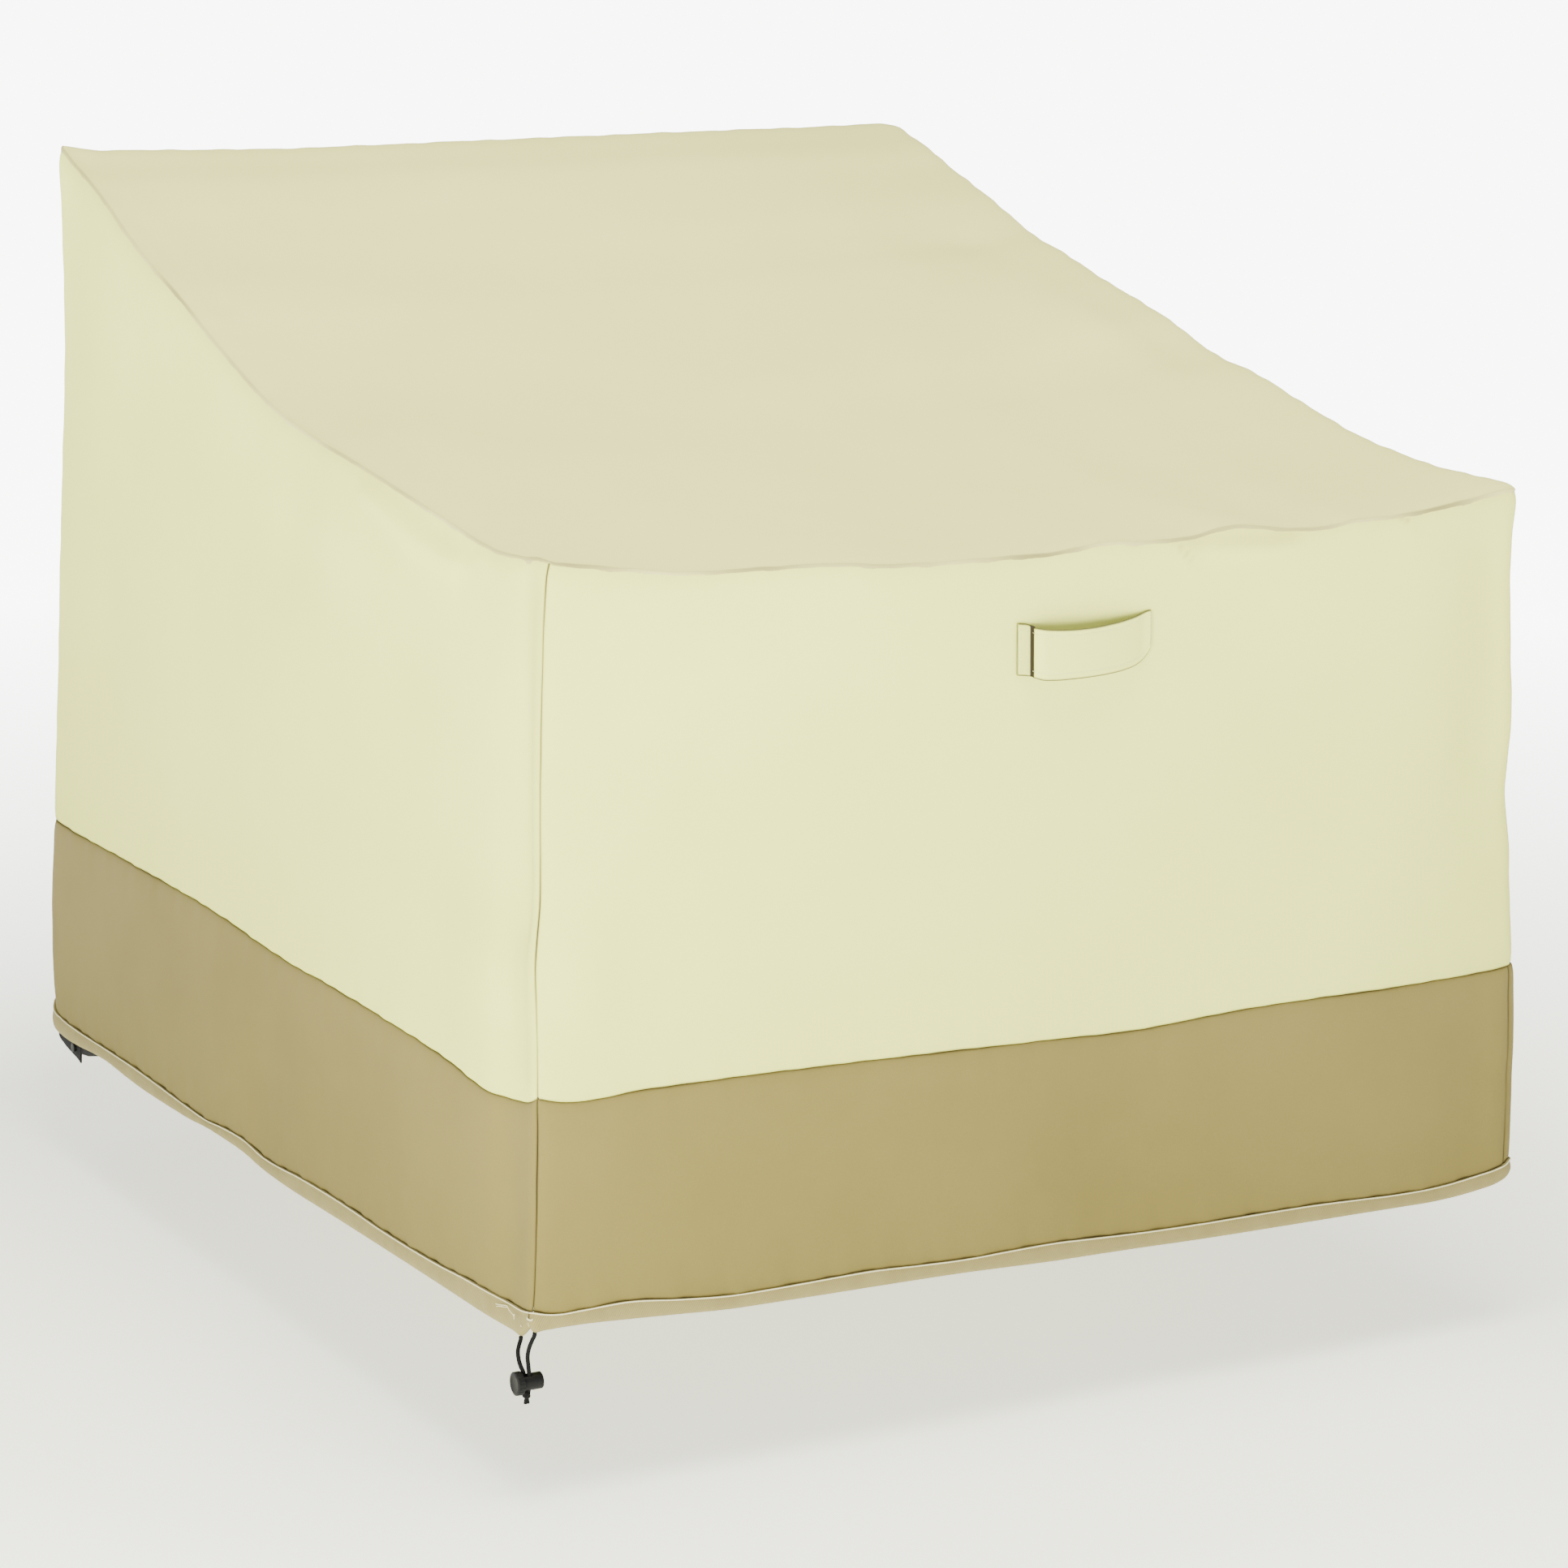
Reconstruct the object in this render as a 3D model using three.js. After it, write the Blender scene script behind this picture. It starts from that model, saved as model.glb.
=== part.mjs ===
// Patio chair cover: a hollow shell of sewn cloth panels with a hem channel, millimetres, +Z up.
// It is modelled with the front's middle at x = 0, the front wall at y = 0 and the hem's seam near z = 0, and the
// whole group is then moved so that the origin lies under the top panel, where the cover is carried.
import * as THREE from "three";

// Driving sizes
const FRONT_WIDTH = 860;
const DEPTH = 1012;
const FRONT_HEIGHT = 572;
const SIDE_FLARE = 0.031;
const FRONT_FLARE = 0.012;
const CLOTH = 2;
const GAP = 0.3;

// Half of the gap at a mitred seam, taken off each piece along the cloth.
const SEAM_EASE = 0.71 * GAP;
const HALF_WIDTH = FRONT_WIDTH / 2;

// Where the cover is carried: the middle of the top panel's underside, this far back from the front wall.
const REST_BACK = 520;

// Colours
const CREAM = "#e2e2c0";
const CREAM_TOP = "#dcd7bb";
const TAN = "#bcac82";
const TAPE_TAN = "#bdb28f";
const BLACK = "#242426";

// Top seams: height along each wall. Front and back run over x, the sides over y.
const TOP_SEAM = {
  front: [
    { at: -430, z: 575 }, { at: -413, z: 570 }, { at: -371, z: 564 }, { at: -320, z: 557 }, { at: -200, z: 555 },
    { at: -140, z: 550 }, { at: 0, z: 550 }, { at: 34, z: 554 }, { at: 75, z: 553 }, { at: 103, z: 550 },
    { at: 134, z: 558 }, { at: 169, z: 559 }, { at: 225, z: 552 }, { at: 260, z: 556 }, { at: 320, z: 558 },
    { at: 370, z: 564 }, { at: 430, z: 574 },
  ],
  back: [
    { at: -430, z: 798 }, { at: -400, z: 791 }, { at: -330, z: 789 }, { at: -220, z: 787 }, { at: -50, z: 789 },
    { at: 188, z: 792 }, { at: 375, z: 794 }, { at: 430, z: 796 },
  ],
  left: [
    { at: 0, z: 575 }, { at: 60, z: 568 }, { at: 110, z: 569 }, { at: 180, z: 577 }, { at: 330, z: 597 },
    { at: 450, z: 610 }, { at: 500, z: 618 }, { at: 540, z: 627 }, { at: 650, z: 662 }, { at: 720, z: 688 },
    { at: 790, z: 710 }, { at: 830, z: 725 }, { at: 875, z: 744 }, { at: 920, z: 765 }, { at: 960, z: 778 },
    { at: 1012, z: 798 },
  ],
  right: [
    { at: 0, z: 574 }, { at: 110, z: 575 }, { at: 180, z: 581 }, { at: 250, z: 592 }, { at: 370, z: 620 },
    { at: 420, z: 628 }, { at: 447, z: 632 }, { at: 500, z: 651 }, { at: 610, z: 677 }, { at: 722, z: 705 },
    { at: 752, z: 711 }, { at: 810, z: 733 }, { at: 900, z: 761 }, { at: 935, z: 774 }, { at: 965, z: 782 },
    { at: 1012, z: 796 },
  ],
};

// Seam between the cream walls and the tan band.
const BAND_SEAM = {
  front: [
    { at: -430, z: 176 }, { at: -400, z: 170 }, { at: -350, z: 172 }, { at: -235, z: 172 }, { at: -115, z: 170 },
    { at: 0, z: 167 }, { at: 68, z: 165 }, { at: 142, z: 169 }, { at: 225, z: 171 }, { at: 380, z: 172 },
    { at: 430, z: 176 },
  ],
  back: [
    { at: -430, z: 182 }, { at: -200, z: 173 }, { at: 60, z: 170 }, { at: 260, z: 173 }, { at: 430, z: 180 },
  ],
  left: [
    { at: 0, z: 176 }, { at: 22, z: 168 }, { at: 60, z: 163 }, { at: 105, z: 164 }, { at: 170, z: 169 },
    { at: 370, z: 173 }, { at: 459, z: 173 }, { at: 620, z: 180 }, { at: 820, z: 180 }, { at: 930, z: 179 },
    { at: 1012, z: 182 },
  ],
  right: [
    { at: 0, z: 176 }, { at: 60, z: 170 }, { at: 200, z: 171 }, { at: 420, z: 174 }, { at: 640, z: 171 },
    { at: 850, z: 174 }, { at: 1012, z: 180 },
  ],
};

// Hem channel: its top seam, and its lower edge, which is cut away at the slit in the front left corner.
const HEM_TOP = {
  front: [
    { at: -430, z: 15 }, { at: -410, z: 11 }, { at: -355, z: 12 }, { at: -280, z: 4 }, { at: -145, z: 5 },
    { at: -95, z: 2 }, { at: 0, z: 3 }, { at: 70, z: -1 }, { at: 230, z: -1 }, { at: 330, z: -4 },
    { at: 378, z: -1 }, { at: 415, z: 5 }, { at: 430, z: 9 },
  ],
  back: [
    { at: -430, z: 9 }, { at: -380, z: 0 }, { at: -160, z: -4 }, { at: 80, z: -1 }, { at: 300, z: -5 },
    { at: 390, z: 0 }, { at: 430, z: 8 },
  ],
  left: [
    { at: 0, z: 15 }, { at: 31, z: 10 }, { at: 96, z: 9 }, { at: 161, z: 5 }, { at: 259, z: 2 }, { at: 345, z: 2 },
    { at: 436, z: -1 }, { at: 499, z: -6 }, { at: 563, z: 0 }, { at: 613, z: -5 }, { at: 786, z: -2 },
    { at: 946, z: -3 }, { at: 990, z: 1 }, { at: 1012, z: 9 },
  ],
  right: [
    { at: 0, z: 9 }, { at: 80, z: 1 }, { at: 300, z: -3 }, { at: 520, z: 0 }, { at: 740, z: -5 }, { at: 940, z: -2 },
    { at: 1012, z: 8 },
  ],
};
const HEM_EDGE = {
  front: [
    { at: -430, z: -1 }, { at: -392, z: -1 }, { at: -322, z: -5 }, { at: -276, z: -8 },
    { at: -84, z: -10 }, { at: 0, z: -13 }, { at: 94, z: -15 }, { at: 290, z: -16 }, { at: 365, z: -16 },
    { at: 400, z: -12 }, { at: 430, z: -5 },
  ],
  back: [
    { at: -430, z: -8 }, { at: -380, z: -15 }, { at: -160, z: -18 }, { at: 80, z: -15 }, { at: 300, z: -19 },
    { at: 390, z: -14 }, { at: 430, z: -7 },
  ],
  left: [
    { at: 0, z: -1 }, { at: 5, z: 2 }, { at: 10, z: -2 }, { at: 20, z: -9.5 }, { at: 65, z: -11 },
    { at: 184, z: -12 }, { at: 345, z: -15 }, { at: 481, z: -18 }, { at: 517, z: -17 }, { at: 553, z: -13 },
    { at: 627, z: -13 }, { at: 666, z: -16 }, { at: 784, z: -18 }, { at: 871, z: -15 }, { at: 940, z: -19 },
    { at: 985, z: -18 }, { at: 1012, z: -11 },
  ],
  right: [
    { at: 0, z: -5 }, { at: 80, z: -13 }, { at: 300, z: -17 }, { at: 520, z: -14 }, { at: 740, z: -19 },
    { at: 940, z: -16 }, { at: 1012, z: -7 },
  ],
};

// Corners, in the order front left, front right, back right, back left. Each has its side of the middle, its end,
// how far it stands out of the flared line at each height, and how wide its rounding is there.
const CORNERS = [
  {
    side: -1,
    end: "front",
    stand: [
      { at: -20, out: -2 }, { at: 50, out: -3 }, { at: 174, out: -2 }, { at: 210, out: -1 }, { at: 268, out: 2.6 },
      { at: 312, out: 0 }, { at: 390, out: 1.4 }, { at: 449, out: 2.2 }, { at: 531, out: 1.7 }, { at: 575, out: 0 },
    ],
    round: [{ at: -20, out: 5 }, { at: 575, out: 4 }],
  },
  {
    side: 1,
    end: "front",
    stand: [
      { at: -20, out: 9 }, { at: 12, out: 10 }, { at: 82, out: 11.5 }, { at: 168, out: 12.5 }, { at: 203, out: 4 },
      { at: 244, out: 4 }, { at: 288, out: -1.4 }, { at: 339, out: -5 }, { at: 372, out: 0 }, { at: 472, out: -2.1 },
      { at: 530, out: -1.8 }, { at: 574, out: 5 },
    ],
    round: [{ at: -20, out: 22 }, { at: 170, out: 20 }, { at: 260, out: 7 }, { at: 575, out: 4 }],
  },
  {
    side: 1,
    end: "back",
    stand: [
      { at: -20, out: 9 }, { at: 120, out: 12 }, { at: 240, out: 7 }, { at: 420, out: 3 }, { at: 640, out: -1 },
      { at: 796, out: 1 },
    ],
    round: [{ at: -20, out: 20 }, { at: 170, out: 18 }, { at: 260, out: 7 }, { at: 796, out: 4 }],
  },
  {
    side: -1,
    end: "back",
    stand: [
      { at: -20, out: 10 }, { at: 20, out: 9.5 }, { at: 47, out: 12 }, { at: 109, out: 13.5 }, { at: 170, out: 12.5 },
      { at: 193, out: 9.5 }, { at: 231, out: 7 }, { at: 322, out: 5 }, { at: 411, out: 4 }, { at: 545, out: 1.9 },
      { at: 650, out: -0.5 }, { at: 746, out: 0.4 }, { at: 798, out: 2 },
    ],
    round: [{ at: -20, out: 26 }, { at: 170, out: 24 }, { at: 260, out: 7 }, { at: 798, out: 4 }],
  },
];

// Soft folds and hollows of the walls: place along the wall and height, half sizes, turn in degrees, and how far
// they stand out of the wall, or into it where negative.
const WALL_FOLDS = {
  front: [
    { at: -60, z: 330, long: 260, tall: 150, turn: 0, out: 5 },
    { at: -250, z: 505, long: 120, tall: 45, turn: 0, out: 4 },
    { at: 245, z: 500, long: 90, tall: 45, turn: 4, out: 4 },
    { at: -392, z: 262, long: 30, tall: 46, turn: 0, out: 3.5 },
    { at: 385, z: 345, long: 34, tall: 90, turn: -6, out: -4 },
    { at: 290, z: 230, long: 44, tall: 110, turn: -18, out: 3.5 },
    { at: -120, z: 80, long: 150, tall: 70, turn: 0, out: 4 },
    { at: 270, z: 85, long: 100, tall: 70, turn: 0, out: 3.5 },
    { at: 60, z: 50, long: 48, tall: 100, turn: 8, out: -3.5 },
    { at: 385, z: 90, long: 30, tall: 90, turn: 0, out: -4 },
  ],
  back: [
    { at: 0, z: 420, long: 240, tall: 220, turn: 0, out: 7 },
    { at: -250, z: 250, long: 46, tall: 170, turn: 5, out: -5 },
    { at: 210, z: 260, long: 48, tall: 190, turn: -6, out: -5 },
    { at: 60, z: 160, long: 46, tall: 150, turn: 3, out: 5 },
    { at: -330, z: 80, long: 46, tall: 90, turn: 0, out: 4 },
    { at: 330, z: 90, long: 46, tall: 90, turn: 0, out: 4 },
  ],
  left: [
    { at: 40, z: 330, long: 24, tall: 190, turn: 0, out: -5 },
    { at: 92, z: 235, long: 38, tall: 90, turn: -8, out: 5 },
    { at: 375, z: 555, long: 120, tall: 46, turn: 8, out: 7 },
    { at: 455, z: 530, long: 44, tall: 50, turn: 30, out: -5 },
    { at: 230, z: 470, long: 60, tall: 80, turn: 30, out: -3 },
    { at: 560, z: 360, long: 200, tall: 120, turn: 20, out: 4 },
    { at: 880, z: 420, long: 48, tall: 220, turn: 0, out: -4 },
    { at: 958, z: 560, long: 30, tall: 150, turn: 3, out: 3.5 },
    { at: 600, z: 90, long: 210, tall: 70, turn: 0, out: 3 },
    { at: 500, z: 40, long: 44, tall: 70, turn: 10, out: -4 },
    { at: 190, z: 90, long: 110, tall: 70, turn: 0, out: 4 },
    { at: 40, z: 60, long: 24, tall: 90, turn: 0, out: -4 },
  ],
  right: [
    { at: 44, z: 330, long: 28, tall: 170, turn: 0, out: -5 },
    { at: 400, z: 560, long: 120, tall: 48, turn: 10, out: 6 },
    { at: 470, z: 540, long: 44, tall: 50, turn: 30, out: -5 },
    { at: 520, z: 330, long: 210, tall: 140, turn: 15, out: 5 },
    { at: 860, z: 400, long: 48, tall: 210, turn: 0, out: -4 },
    { at: 300, z: 120, long: 46, tall: 130, turn: 6, out: -4 },
    { at: 640, z: 90, long: 150, tall: 80, turn: 0, out: 5 },
  ],
};

// Dips and ridges of the top panel: place, half sizes across and back, turn in degrees, and rise.
const TOP_FOLDS = [
  { x: 0, y: 400, across: 300, back: 240, turn: 0, rise: -20 },
  { x: 30, y: 740, across: 260, back: 150, turn: 0, rise: -8 },
  { x: -345, y: 395, across: 40, back: 120, turn: -6, rise: 9 },
  { x: 350, y: 500, across: 45, back: 130, turn: 6, rise: 8 },
  { x: 352, y: 735, across: 36, back: 34, turn: 30, rise: -4 },
  { x: 150, y: 60, across: 60, back: 26, turn: -12, rise: 5 },
  { x: -120, y: 90, across: 170, back: 50, turn: 0, rise: 3 },
  { x: -380, y: 880, across: 30, back: 90, turn: 12, rise: -4 },
];

// Stations along the walls and rows up them.
const ACROSS_STEPS = 20;
const BACK_STEPS = 24;
const WALL_ROWS = 8;
const BAND_ROWS = 3;

// Where the band's corner seams lie, measured along the walls from the corner, and the stations close to each corner.
const BAND_SEAM_SHIFT = [0, -10, 0, 10];
const CORNER_STEPS = [10, 20, 38];

// Value of a table at a place, on a smooth curve through its rows.
function along(rows, place, column) {
  const last = rows.length - 1;
  if (place <= rows[0].at) return rows[0][column];
  if (place >= rows[last].at) return rows[last][column];
  let i = 0;
  while (rows[i + 1].at < place) i += 1;
  const slope = (a, b) => (rows[b][column] - rows[a][column]) / (rows[b].at - rows[a].at);
  const step = rows[i + 1].at - rows[i].at;
  const s = (place - rows[i].at) / step;
  const leave = i > 0 ? slope(i - 1, i + 1) : slope(0, 1);
  const arrive = i + 2 <= last ? slope(i, i + 2) : slope(last - 1, last);
  const ease = s * s * (3 - 2 * s);
  const curve = step * (leave * s * (1 - s) * (1 - s) - arrive * s * s * (1 - s));
  return rows[i][column] * (1 - ease) + rows[i + 1][column] * ease + curve;
}

// A place on the ring of walls: 0 to 1 front, 1 to 2 right, 2 to 3 back, 3 to 4 left, counter-clockwise from above.
const WALLS = ["front", "right", "back", "left"];

function placeOn(ring) {
  const turn = ((ring % 4) + 4) % 4;
  const wall = Math.min(3, Math.floor(turn));
  return { wall, part: turn - wall };
}

// Nominal distance along a wall, in the terms of its tables.
function nominal(wall, part) {
  if (wall === 0) return -HALF_WIDTH + FRONT_WIDTH * part;
  if (wall === 1) return DEPTH * part;
  if (wall === 2) return HALF_WIDTH - FRONT_WIDTH * part;
  return DEPTH * (1 - part);
}

function seamHeight(seam, ring) {
  const { wall, part } = placeOn(ring);
  return along(seam[WALLS[wall]], nominal(wall, part), "z");
}

function wallLength(wall) {
  return wall % 2 === 0 ? FRONT_WIDTH : DEPTH;
}

// Sharp corner of the ring at a height, with the cloth's depth from its outer face.
function cornerAt(index, z, depth) {
  const corner = CORNERS[index];
  const drop = Math.max(0, FRONT_HEIGHT - z);
  const stand = along(corner.stand, z, "out");
  const x = corner.side * (HALF_WIDTH + SIDE_FLARE * drop + stand - depth);
  const past = FRONT_FLARE * drop - depth;
  const y = corner.end === "front" ? -past : DEPTH + past;
  return new THREE.Vector2(x, y);
}

// A smooth bump of height 1 at the middle of a fold.
function bump(da, db, halfA, halfB, turn) {
  const angle = THREE.MathUtils.degToRad(turn);
  const a = (da * Math.cos(angle) + db * Math.sin(angle)) / halfA;
  const b = (db * Math.cos(angle) - da * Math.sin(angle)) / halfB;
  return Math.exp(-(a * a + b * b));
}

// The walls' folds fade out over this distance from each corner seam.
const FOLD_FADE = 26;

function wallStand(wall, part, z) {
  const place = nominal(wall, part);
  let out = 0;
  for (const fold of WALL_FOLDS[WALLS[wall]]) {
    out += fold.out * bump(place - fold.at, z - fold.z, fold.long, fold.tall, fold.turn);
  }
  const edge = Math.min(part, 1 - part) * wallLength(wall);
  const fade = Math.min(1, Math.max(0, edge / FOLD_FADE));
  return out * fade * fade * (3 - 2 * fade);
}

function wallPoint(wall, part, z, depth) {
  const start = cornerAt(wall, z, depth);
  const finish = cornerAt((wall + 1) % 4, z, depth);
  const run = finish.clone().sub(start).normalize();
  const outward = new THREE.Vector2(run.y, -run.x);
  return start.lerp(finish, part).addScaledVector(outward, wallStand(wall, part, z));
}

// Plan place of the ring at a height: straight walls with parabolic roundings at the corners.
function ringPoint(ring, z, depth) {
  const { wall, part } = placeOn(ring);
  const length = wallLength(wall);
  const fromStart = part * length;
  const toEnd = (1 - part) * length;
  const index = fromStart < toEnd ? wall : (wall + 1) % 4;
  const past = fromStart < toEnd ? fromStart : -toEnd;
  const round = Math.max(1, along(CORNERS[index].round, z, "out") - depth);
  if (Math.abs(past) >= round) return wallPoint(wall, part, z, depth);
  const before = (index + 3) % 4;
  const a = wallPoint(before, 1 - round / wallLength(before), z, depth);
  const b = wallPoint(index, round / wallLength(index), z, depth);
  const c = cornerAt(index, z, depth);
  const s = (past + round) / (2 * round);
  return a.multiplyScalar((1 - s) * (1 - s)).addScaledVector(c, 2 * s * (1 - s)).addScaledVector(b, s * s);
}

function shellPoint(ring, z, depth) {
  const plan = ringPoint(ring, z, depth);
  return new THREE.Vector3(plan.x, plan.y, z);
}

// The top panel's folds fade out over this distance from its seams.
const TOP_FADE = 70;

// Top panel: blended between its four seams, with its own dips and ridges.
function topPoint(across, back, depth) {
  const front = seamPoint(across, depth);
  const rear = seamPoint(3 - across, depth);
  const left = seamPoint(4 - back, depth);
  const right = seamPoint(1 + back, depth);
  const corners = [seamPoint(0, depth), seamPoint(1, depth), seamPoint(2, depth), seamPoint(3, depth)];
  const nearFront = (1 - back) * (1 - back);
  const nearBack = back ** 4;
  const point = left.multiplyScalar(1 - across).addScaledVector(right, across);
  point.addScaledVector(front, nearFront).addScaledVector(rear, nearBack);
  point.addScaledVector(corners[0], -nearFront * (1 - across)).addScaledVector(corners[1], -nearFront * across);
  point.addScaledVector(corners[2], -nearBack * across).addScaledVector(corners[3], -nearBack * (1 - across));
  const edge = Math.min(across, 1 - across) * FRONT_WIDTH;
  const end = Math.min(back, 1 - back) * DEPTH;
  const fade = Math.min(1, edge / TOP_FADE) * Math.min(1, end / TOP_FADE);
  for (const fold of TOP_FOLDS) {
    const size = bump(point.x - fold.x, point.y - fold.y, fold.across, fold.back, fold.turn);
    point.z += fold.rise * size * fade;
  }
  return point;
}

// Edge of the top panel on its seam: the depth goes down as well as in, which mitres it to the walls.
function seamPoint(ring, depth) {
  const z = seamHeight(TOP_SEAM, ring);
  const point = shellPoint(ring, z, depth + SEAM_EASE);
  point.z = z - depth;
  return point;
}

function evenly(count) {
  return Array.from({ length: count + 1 }, (_, i) => i / count);
}

// Stations of a wall from 0 to 1: a few close to each corner, and even ones between.
function wallStations(wall) {
  const near = CORNER_STEPS.map((step) => step / wallLength(wall));
  const first = near.pop();
  const middle = evenly(wall % 2 === 0 ? ACROSS_STEPS : BACK_STEPS).map((part) => first + (1 - 2 * first) * part);
  return [0, ...near, ...middle, ...near.map((part) => 1 - part).reverse(), 1];
}

// A station closer than this to a piece's end is left out.
const END_CLEAR = 0.002;

// Stations of a stretch of the ring, from one end of a piece to the other.
function ringStations(from, to) {
  const list = [];
  for (let wall = Math.floor(from); wall <= Math.floor(to); wall += 1) {
    list.push(...wallStations(wall).map((part) => wall + part));
  }
  const inside = list.filter((ring, i) => ring > from + END_CLEAR && ring < to - END_CLEAR && ring !== list[i - 1]);
  return [from, ...inside, to];
}

// Triangles of a closed form from a grid of rings: each row is one closed section, and the two end rows are capped.
function loft(rows) {
  const count = rows[0].length;
  const positions = rows.flat().flatMap((point) => [point.x, point.y, point.z]);
  const faces = [];
  const quad = (a, b, c, d) => faces.push(a, b, c, a, c, d);
  for (let row = 0; row + 1 < rows.length; row += 1) {
    for (let i = 0; i < count; i += 1) {
      const next = (i + 1) % count;
      quad(row * count + i, row * count + next, (row + 1) * count + next, (row + 1) * count + i);
    }
  }
  const last = (rows.length - 1) * count;
  const half = count / 2;
  for (let i = 0; i < half - 1; i += 1) {
    const across = count - 1 - i;
    quad(i, across, across - 1, i + 1);
    quad(last + i, last + i + 1, last + across - 1, last + across);
  }
  return turnedOut(positions, faces);
}

// Geometry whose faces point out, whichever way its sections run.
function turnedOut(positions, faces) {
  let volume = 0;
  const at = (i) => new THREE.Vector3(positions[3 * i], positions[3 * i + 1], positions[3 * i + 2]);
  for (let i = 0; i < faces.length; i += 3) {
    volume += at(faces[i]).dot(at(faces[i + 1]).cross(at(faces[i + 2])));
  }
  const outward = volume < 0 ? faces.slice().reverse() : faces;
  const geometry = new THREE.BufferGeometry();
  geometry.setAttribute("position", new THREE.Float32BufferAttribute(positions, 3));
  geometry.setIndex(outward);
  geometry.computeVertexNormals();
  return geometry;
}

// A sheet as a loft: each row goes out along the outer face and comes back along the inner face.
function sheet(columns, rows, outer, inner) {
  const sections = [];
  for (const column of columns) {
    const out = rows.map((row) => outer(column, row));
    const back = rows.map((row) => inner(column, row)).reverse();
    sections.push([...out, ...back]);
  }
  return loft(sections);
}

function cloth(color) {
  return new THREE.MeshStandardMaterial({ color, roughness: 0.85, metalness: 0, side: THREE.DoubleSide });
}

const creamCloth = cloth(CREAM);
const creamTopCloth = cloth(CREAM_TOP);
const tanCloth = cloth(TAN);
const tapeCloth = cloth(TAPE_TAN);
const blackWebbing = cloth(BLACK);
const blackPlastic = new THREE.MeshStandardMaterial({ color: BLACK, roughness: 0.45, metalness: 0 });

const cover = new THREE.Group();

function add(name, geometry, material) {
  const mesh = new THREE.Mesh(geometry, material);
  mesh.name = name;
  cover.add(mesh);
  return mesh;
}

// Height between two seams, each drawn back by half of the gap.
function heightBetween(low, high, up) {
  return low + GAP / 2 + (high - low - GAP) * up;
}

// Cream walls: each runs from corner seam to corner seam and from the band seam to the top seam.
function wallSheet(wall) {
  const ease = SEAM_EASE / wallLength(wall);
  const columns = ringStations(wall + ease, wall + 1 - ease);
  const face = (depth) => (ring, up) => {
    const low = seamHeight(BAND_SEAM, ring);
    const high = seamHeight(TOP_SEAM, ring) - depth - SEAM_EASE + GAP / 2;
    return shellPoint(ring, heightBetween(low, high, up), depth);
  };
  return sheet(columns, evenly(WALL_ROWS), face(0), face(CLOTH));
}

add("front_panel", wallSheet(0), creamCloth);
add("right_panel", wallSheet(1), creamCloth);
add("back_panel", wallSheet(2), creamCloth);
add("left_panel", wallSheet(3), creamCloth);

// Top panel: one piece from the front seam over the low front and up to the high back.
const topFace = (depth) => (across, back) => topPoint(across, back, depth);
add("top_panel", sheet(wallStations(0), wallStations(1), topFace(0), topFace(CLOTH)), creamTopCloth);

// Tan band: four pieces. At two corners the seam lies off the corner, so the band's cloth turns it.
function seamShift(index) {
  const shift = BAND_SEAM_SHIFT[index % 4];
  const side = shift < 0 ? (index + 3) % 4 : index % 4;
  return shift / wallLength(side);
}

function bandSheet(wall) {
  const ease = SEAM_EASE / wallLength(wall);
  const columns = ringStations(wall + seamShift(wall) + ease, wall + 1 + seamShift(wall + 1) - ease);
  const face = (depth) => (ring, up) => {
    const low = seamHeight(HEM_TOP, ring);
    const high = seamHeight(BAND_SEAM, ring);
    return shellPoint(ring, heightBetween(low, high, up), depth);
  };
  return sheet(columns, evenly(BAND_ROWS), face(0), face(CLOTH));
}

add("band_front", bandSheet(0), tanCloth);
add("band_right", bandSheet(1), tanCloth);
add("band_back", bandSheet(2), tanCloth);
add("band_left", bandSheet(3), tanCloth);

// Hem channel: one tape all round, folded over the drawcord. Each row is a point of its flat oval section: depth
// from the band's outer face, and height from its lower edge, 0, to its top seam, 1.
const HEM_DEPTH = 4.4;
const HEM_SECTION = [
  { depth: 0.1, up: 1 },
  { depth: -0.9, up: 0.5 },
  { depth: 0.6, up: 0 },
  { depth: 3, up: 0 },
  { depth: HEM_DEPTH, up: 0.5 },
  { depth: 3.4, up: 1 },
];

// The slit lies on the left wall, this far from the front left corner, with half of this gap to each tape end.
const SLIT_AT = 5;
const SLIT_GAP = 0.8;

function hemTape() {
  const from = (SLIT_GAP / 2 - SLIT_AT) / DEPTH;
  const to = 4 - (SLIT_AT + SLIT_GAP / 2) / DEPTH;
  const sections = ringStations(from, to).map((ring) => {
    const low = seamHeight(HEM_EDGE, ring);
    const high = seamHeight(HEM_TOP, ring) - GAP / 2;
    return HEM_SECTION.map((row) => shellPoint(ring, low + (high - low) * row.up, row.depth));
  });
  return loft(sections);
}

add("hem_tape", hemTape(), tapeCloth);

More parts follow.
